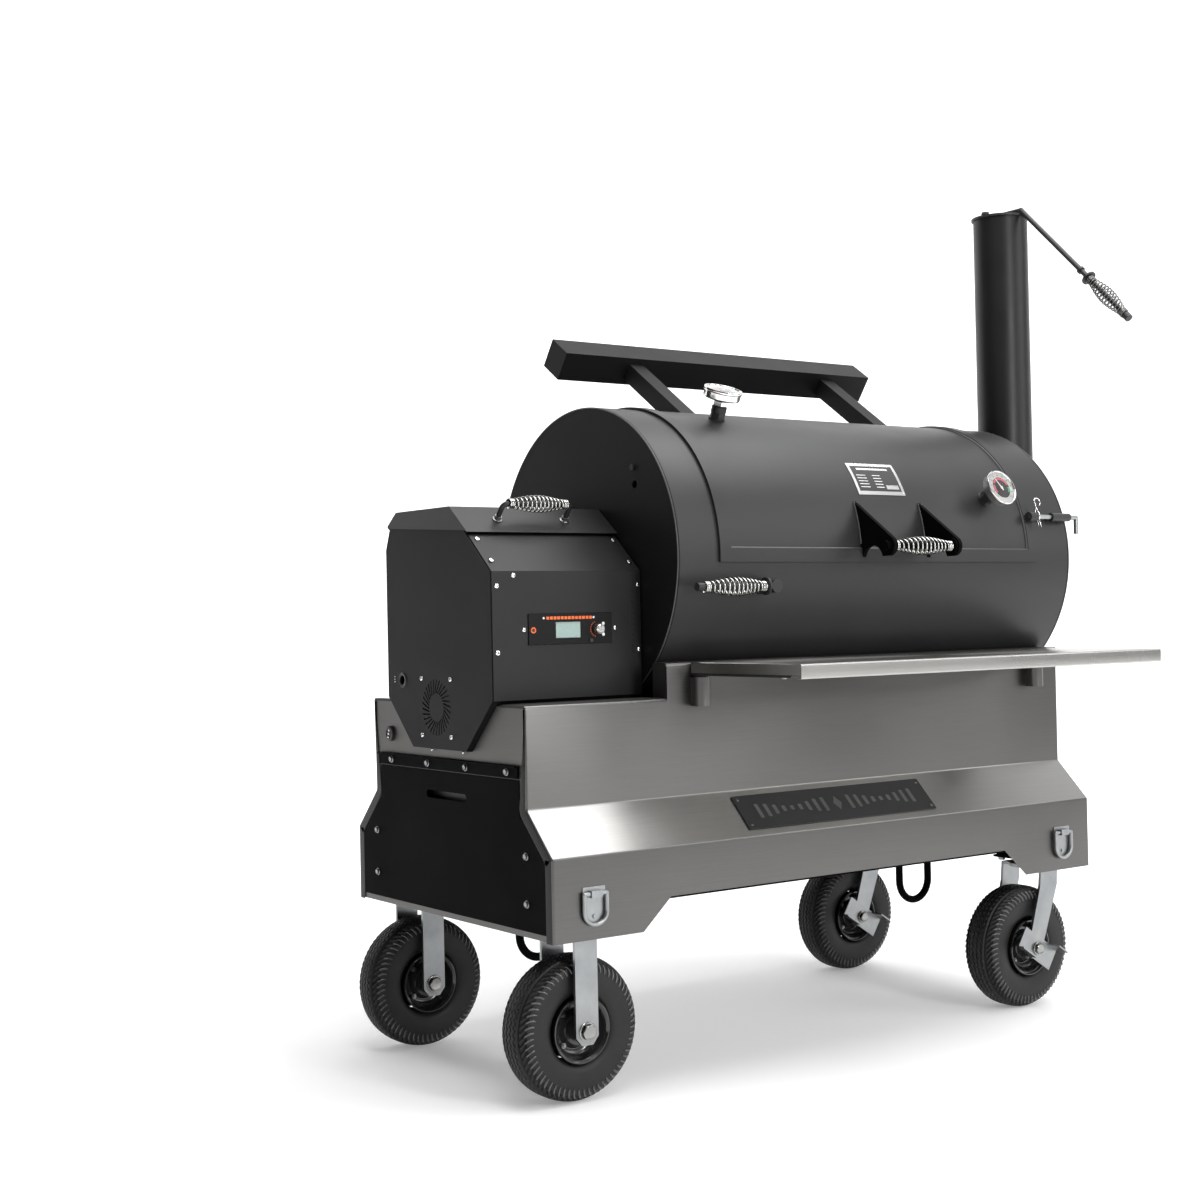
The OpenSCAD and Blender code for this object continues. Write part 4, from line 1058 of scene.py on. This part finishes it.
def control_panel():
    """Black plate with a display, a status ring, a knob with marks, and a plain band of orange bars."""
    low, high = span("control_panel")
    window_low, window_high = span("display_window")
    face = low.y
    mid, pane = middle("control_panel"), middle("display_window")
    x0, x1 = window_low.x - mid.x, window_high.x - mid.x
    z0, z1 = window_low.z - mid.z, window_high.z - mid.z
    centre = at(mid.x, 0, mid.z, TO_FRONT)
    plate = Shape()
    for left, bottom, right, top in (
        (-PLATE_W, -PLATE_H, x0, PLATE_H), (x1, -PLATE_H, PLATE_W, PLATE_H),
        (x0, -PLATE_H, x1, z0), (x0, z1, x1, PLATE_H),
    ):
        plate.block(centre, (left, bottom, -face - 3), (right, top, -face))
    plate.piece("control_plate", "cooker", [SHADE_DARKENED_COAT], ["control_panel"], sharp=30)
    marks = Shape()
    # a row of upright bars with a dot at each end
    bar_z = high.z - 8
    for i in range(13):
        place = at(-220 + i * 8.0, face - 0.4, bar_z, TO_FRONT)
        marks.prism(place, rounded_box(6.2, 5.6, 0.8, 3), 0, 0.4, 0)
    for x in (-229, -117):
        marks.lathe(at(x, face - 0.4, bar_z, TO_FRONT), [(2, 0), (2, 0.4), (0, 0.5)], 20, 1)
    status = at(STATUS_X, face, ROW_Z, TO_FRONT)
    marks.lathe(status, [(5.6, 0), (5.6, 1.2), (4.6, 1.6), (3.4, 1.2), (3.4, 0.3)], 32, 0)
    marks.lathe(status, [(0, 0.4), (3.4, 0.4)], 24, 2)
    for x, z in arc(KNOB_X, ROW_Z, 14, 110, 254, 8):
        marks.lathe(at(x, face - 0.3, z, TO_FRONT), [(0.9, 0), (0.9, 0.3), (0, 0.35)], 12, 0)
    for z in (849, 828.5):
        marks.lathe(at(BUTTON_X, face, z, TO_FRONT), [(3, 0), (3, 1.0), (2.2, 1.5), (0, 1.6)], 20, 1)
    marks.lathe(at(-123.5, face, 818, TO_FRONT), [(4, 0), (4, 2.4), (3.2, 3), (0, 3)], 24, 2)
    marks.piece("control_marks", "cooker", [ORANGE, WHITE, PLASTIC], sharp=30)
    display = Shape()
    back = at(pane.x, window_high.y - 0.4, pane.z, TO_FRONT)
    w, h = (x1 - x0) / 2 - 0.1, (z1 - z0) / 2 - 0.1
    display.block(back, (-w, -h, 0), (w, h, 2.4), 0)
    display.piece("display_screen", "cooker", [DISPLAY], ["display_window"], bevel=0.4)
    knob_low, knob_high = span("control_knob")
    hub = middle("control_knob")
    knob = Shape()
    place = at(hub.x, knob_high.y, hub.z, TO_FRONT)
    length = knob_high.y - knob_low.y
    knob.lathe(place, [(3, 0), (3, length - 14), (9.4, length - 13.6), (9.4, length - 12)], 40, 0)
    ribs = [polar(9.4 if i % 2 else 8.8, 7.5 * i) for i in range(48)]
    knob.prism(place, ribs, length - 12, length - 2, 0)
    knob.lathe(place, [(8.6, length - 2), (8.0, length - 0.6), (7.2, length), (0, length)], 40, 0)
    knob.block(place, (-0.5, 3.0, length - 0.02), (0.5, 7.0, length + 0.0), 1)
    knob.piece("control_knob_body", "knob", [PLATE_STEEL, PLASTIC], ["control_knob"], sharp=30)


control_panel()

# ---- plates ----

NAMEPLATE_X = 374
def nameplate():
    """Black plate on the slanted band with a plain steel motif: bars on both sides of a diamond."""
    slant = Matrix.Rotation(math.radians(45.36), 3, "X")
    place = at(NAMEPLATE_X, -(CART_Y + BAND_Y) / 2 - 0.1, (BAND_LOW_Z + BAND_HIGH_Z) / 2, slant)
    plate = Shape()
    plate.prism(place, rounded_box(496, 80, 3, 3), 0, 3)
    for side in (-1, 1):
        for i in range(9):
            tall = 13 + 7 * math.cos(i * math.pi / 4)
            spot = place @ Matrix.Translation((side * (34 + i * 21), 0, 3))
            plate.prism(spot, rounded_box(9, 2 * tall * 0.85, 2, 3), 0, 0.5, 1)
    plate.prism(place @ Matrix.Translation((0, 0, 3)), [(11, 0), (0, 17), (-11, 0), (0, -17)], 0, 0.5, 1)
    for x in (-238, 238):
        for y in (-30, 30):
            pan_screw(plate, place @ Matrix.Translation((x, y, 3)), 3.4, x + y, 1, 0)
    plate.piece("nameplate_motif", "cooker", [COAT, MOTIF_STEEL], ["nameplate"], 0.4)


def rating_plate():
    """Thin steel plate wrapped on the lid, with a black field of plain ruled lines and rivets."""
    x0, x1, a0, a1 = 489, 621, 24.0, 38.7
    r = BARREL_R + 0.6
    plate = Shape()

    def patch(xa, xb, start, end, height, kind, steps=10):
        rows = []
        for i in range(steps + 1):
            y, z = polar(r + height, start + (end - start) * i / steps)
            rows.append([(x, -y, BARREL_Z + z) for x in (xa, xb)])
        plate.grid(at(0, 0, 0), rows, kind)

    patch(x0, x1, a0, a1, 0.9, 0)
    for start, end in ((a0, a0 + 0.05), (a1 - 0.05, a1)):
        patch(x0, x1, start, end, 0.5, 0, 1)
    patch(x0 + 7, x1 - 7, a0 + 1.6, a1 - 1.3, 1.0, 1)
    patch(x0 + 22, x1 - 22, a1 - 3.3, a1 - 2.4, 1.1, 0, 3)
    for i in range(5):
        start = a1 - 6.0 - i * 1.35
        for near, far in ((14, 40), (58, 80)):
            patch(x0 + near, x0 + far, start, start + 0.25, 1.1, 2, 2)
    patch(x1 - 46, x1 - 12, a0 + 2.6, a0 + 4.4, 1.1, 0, 3)
    for x in (x0 + 3.4, x1 - 3.4):
        for a in (a0 + 0.8, a1 - 0.7):
            plate.lathe(on_barrel(x, a, r + 0.9), [(1.9, 0), (1.6, 0.7), (0, 1)], 16, 0)
    plate.piece(
        "rating_plate_skin", "lid", [PLATE_STEEL, PLASTIC, WHITE], ["rating_plate"], sharp=60
    )


nameplate()
rating_plate()

# ---- welds ----

EAR_WELDS_X = (466, 475, 648, 657)
ARMS_X = (289, 849)  # the counterweight's
SADDLES_X = (150, 940)


def weld(shape, points, radius=2.2, pitch=3.2):
    """A bead along metre points, with the ripples of its passes."""
    path, radii, run = [], [], 0.0
    for a, b in zip(points, points[1:]):
        length = (b - a).length / MM
        steps = max(2, int(length / (pitch / 3)))
        for i in range(steps):
            t = i / steps
            path.append(a.lerp(b, t))
            ripple = 0.5 + 0.5 * math.cos(math.tau * (run + t * length) / pitch)
            radii.append((radius * (0.82 + 0.18 * ripple)) * MM)
        run += length
    path.append(points[-1])
    radii.append(radius * MM)
    shape.sweep(path, radii, 8)


def round_line(x, radius, start, end, steps=60):
    """Metre points round the barrel at x."""
    angles = [start + (end - start) * i / steps for i in range(steps + 1)]
    return [on_barrel(x, a, radius).translation for a in angles]


def welds():
    lid = Shape()
    lid_r = BARREL_R + 0.9
    flange_low, flange_high = span("lid_flange")
    x0, x1 = flange_low.x + 27, flange_high.x - 27
    weld(lid, round_line(x0, lid_r, 116, 2.4, 90), 3.0)
    weld(lid, [on_barrel(x, 2.4, lid_r).translation for x in (x0, x1)], 3.2)
    weld(lid, round_line(x1, lid_r, 2.4, 116, 90), 3.0)
    for x in EAR_WELDS_X:
        weld(lid, round_line(x, lid_r + 0.6, 4.2, 20.5, 14), 2.4)
    for x in ARMS_X:
        for side in (-19, 19):
            weld(lid, round_line(x + side, lid_r + 0.4, 99.5, 106, 6), 2.2)
    lid.piece("lid_weld_beads", "lid", [LIT_WELD_COAT], sharp=70)
    barrel = Shape()
    for x in (0.6, BARREL_L - 0.6):
        weld(barrel, round_line(x, BARREL_R - 1.0, 0, 360, 150), 1.5, 4.0)
    for x in SADDLES_X:
        for side in (-1, 1):
            start, end = (-127, -91) if side > 0 else (-89, -53)
            weld(barrel, round_line(x - 0.5, BARREL_R + 0.4, start, end, 20), 2.2)
    flue = arc(0, BARREL_Z - 90, 60.8, 0, 360, 60)
    ring = [at(BARREL_L + 1, y, z).translation for y, z in flue]
    weld(barrel, ring, 2.4)
    barrel.piece("barrel_weld_beads", "cooker", [LIT_WELD_COAT], sharp=70)


welds()

# ---- small steel pieces ----


def spring_clip():
    """Hairpin clip through the inner end of the latch pin."""
    here = on_barrel(988, 15.3, BARREL_R + 15.5)
    line = [(0, -26), (0.5, -16), (-1.5, -9), (3.2, -3), (4.5, 4), (1.0, 12), (-2, 20), (-3, 27)]
    loop = arc(6, 32, 9, 190, -60, 10)
    clip = Shape()
    clip.sweep([here @ Vector((x, y, 6.3)) for x, y in line + loop], 1.25 * MM, 10)
    straight = [(0, 30, 6.3), (0, 12, 0), (0, -20, 0)]
    clip.sweep([here @ Vector(p) for p in straight], 1.25 * MM, 10)
    clip.piece("spring_clip", "latch", [CHROME], sharp=60)


def inlet_contacts():
    """Socket face with three contacts."""
    low, high = span("power_inlet")
    centre = (low + high) / 2
    face = Shape()
    place = at(low.x, centre.y, centre.z, TO_LEFT)
    face.lathe(place, [(15, 0), (15, 1.0), (13.5, 1.6), (11, 1.6), (10.2, 0.2)], 40)
    for x, y in ((-7, 1.5), (7, -1.5), (0, 0)):
        face.lathe(place @ Matrix.Translation((x, y, 0)), [(2.3, 0), (2.3, 2.0), (1.4, 2.8), (0, 3.0)], 18, 1)
    face.piece("inlet_face", "cooker", [PLASTIC, CHROME], sharp=30)


spring_clip()
inlet_contacts()

# ---- floor, light and camera ----


def painted_glow_by_distance(paint, near, far, low, high):
    """Paints light into the paper: it glows more away from the object, and less near it as painted shade."""
    where = add_node(paint.tree, "ShaderNodeTexCoord")
    length = add_node(paint.tree, "ShaderNodeVectorMath")
    length.operation = "LENGTH"
    spread = add_node(
        paint.tree, "ShaderNodeMapRange", From_Min=near, From_Max=far, To_Min=low, To_Max=high
    )
    spread.interpolation_type = "SMOOTHSTEP"
    paint.links.new(where.outputs["Object"], length.inputs[0])
    paint.links.new(length.outputs["Value"], spread.inputs["Value"])
    paint.links.new(spread.outputs["Result"], paint.shader.inputs["Emission Strength"])


def stage_mesh(name, points, faces, paint, turn=0):
    """A mesh of the studio, which is not a piece of the object."""
    mesh = bpy.data.meshes.new(name)
    mesh.from_pydata(points, [], faces)
    mesh.materials.append(paint.material)
    made = new_object(name, mesh)
    made.rotation_euler = (0, 0, math.radians(turn))
    return made


def backdrop():
    """White dome round the studio that only the camera sees, so it lights nothing."""
    around, up, reach = 48, 24, 20.0
    points = []
    for i in range(up + 1):
        out, height = polar(reach, 180 * (i / up - 0.5))
        points += [(*polar(out, 360 * k / around), height) for k in range(around)]
    faces = []
    for i in range(up):
        for k in range(around):
            here, after = i * around, (k + 1) % around
            faces.append((here + k, here + around + k, here + around + after, here + after))
    paint = Paint("dome_white", (1, 1, 1), 0.0, 1.0, Emission_Color=(1, 1, 1, 1), Emission_Strength=1.0)
    dome = stage_mesh("studio_dome", points, faces, paint)
    for ray in ("diffuse", "glossy", "transmission", "volume_scatter", "shadow"):
        setattr(dome, "visible_" + ray, False)


def paper():
    """White floor that curves up behind the object."""
    line = [(-14.0, 0), (-6.0, 0)] + arc(4.5, 3.0, 3.0, -90, 0, 10) + [(7.5, 12.0)]
    points = [(x, y, z) for y, z in line for x in (-16.0, 16.0)]
    faces = [[2 * i, 2 * i + 1, 2 * i + 3, 2 * i + 2] for i in range(len(line) - 1)]
    paint = Paint(
        "white_paper_painted_glow", (0.90, 0.90, 0.90), 0.0, 0.8, Specular_IOR_Level=0.1, Emission_Color=(1, 1, 1, 1)
    )
    # painted light on the floor, dimmer near the object as painted shade
    painted_glow_by_distance(paint, 1.1, 3.6, 0.24, 0.85)
    paint.bump(paint.noise(60, 2), 0.05, 0.2)
    mesh = stage_mesh("studio_floor", points, faces, paint, -35).data
    mesh.polygons.foreach_set("use_smooth", [True] * len(mesh.polygons))


def surround():
    """White light from all round, weaker from below and from the left."""
    world = bpy.data.worlds.new("surround")
    world.use_nodes = True
    sky = world.node_tree
    background = sky.nodes["Background"]
    set_inputs(background, Color=(1, 1, 1, 1))
    where = add_node(sky, "ShaderNodeTexCoord")
    split = add_node(sky, "ShaderNodeSeparateXYZ")
    rise = add_node(sky, "ShaderNodeMapRange", From_Min=0.0, From_Max=0.85, To_Min=0.30, To_Max=0.95)
    shade = add_node(sky, "ShaderNodeMapRange", From_Min=-0.35, From_Max=0.3, To_Min=0.08, To_Max=1.0)
    both = add_node(sky, "ShaderNodeMath")
    both.operation = "MULTIPLY"
    sky.links.new(where.outputs["Generated"], split.inputs["Vector"])
    for axis, spread, socket in (("Z", rise, 0), ("X", shade, 1)):
        sky.links.new(split.outputs[axis], spread.inputs["Value"])
        sky.links.new(spread.outputs["Result"], both.inputs[socket])
    sky.links.new(both.outputs["Value"], background.inputs["Strength"])
    bpy.context.scene.world = world
    bpy.context.scene.view_settings.view_transform = "Standard"


SOFT_BOXES = (  # name, place, target, width, height, power
    ("top_box", (0.2, -0.6, 3.6), (0.2, 0.0, 0.8), 3.6, 2.2, 125),
    ("front_box", (3.4, -3.6, 2.4), (0.4, 0.0, 1.0), 2.4, 2.4, 50),
    ("left_box", (-4.2, -1.2, 2.2), (-0.2, 0.0, 0.8), 2.4, 2.4, 2.5),
    ("stack_strip", (0.10, -3.4, 1.8), (0.77, 0.1, 1.4), 0.6, 1.7, 50),
)


def soft_boxes():
    for name, place, target, wide, tall, power in SOFT_BOXES:
        light = bpy.data.lights.new(name, "AREA")
        light.shape = "RECTANGLE"
        light.size, light.size_y = wide, tall
        light.energy = power
        holder = new_object(name, light)
        holder.location = place
        holder.rotation_mode = "QUATERNION"
        holder.rotation_quaternion = (Vector(target) - Vector(place)).to_track_quat("-Z", "Y")


def camera():
    """Near the left front corner at the height of the barrel's underside, looking almost level."""
    data = bpy.data.cameras.new("camera")
    data.sensor_width = 36
    data.lens = 53.1
    data.shift_x, data.shift_y = 0.0088, -0.006
    holder = new_object("camera", data)
    holder.location = at(-2027, -2896.5, 865).translation
    turn, tilt, roll = math.radians(-35.14), math.radians(90.72), math.radians(-1.19)
    holder.rotation_mode = "QUATERNION"
    look = Euler((tilt, 0, turn), "XYZ").to_quaternion()
    holder.rotation_quaternion = look @ Quaternion((0, 0, 1), roll)
    bpy.context.scene.camera = holder


paper()
backdrop()
surround()
soft_boxes()
camera()
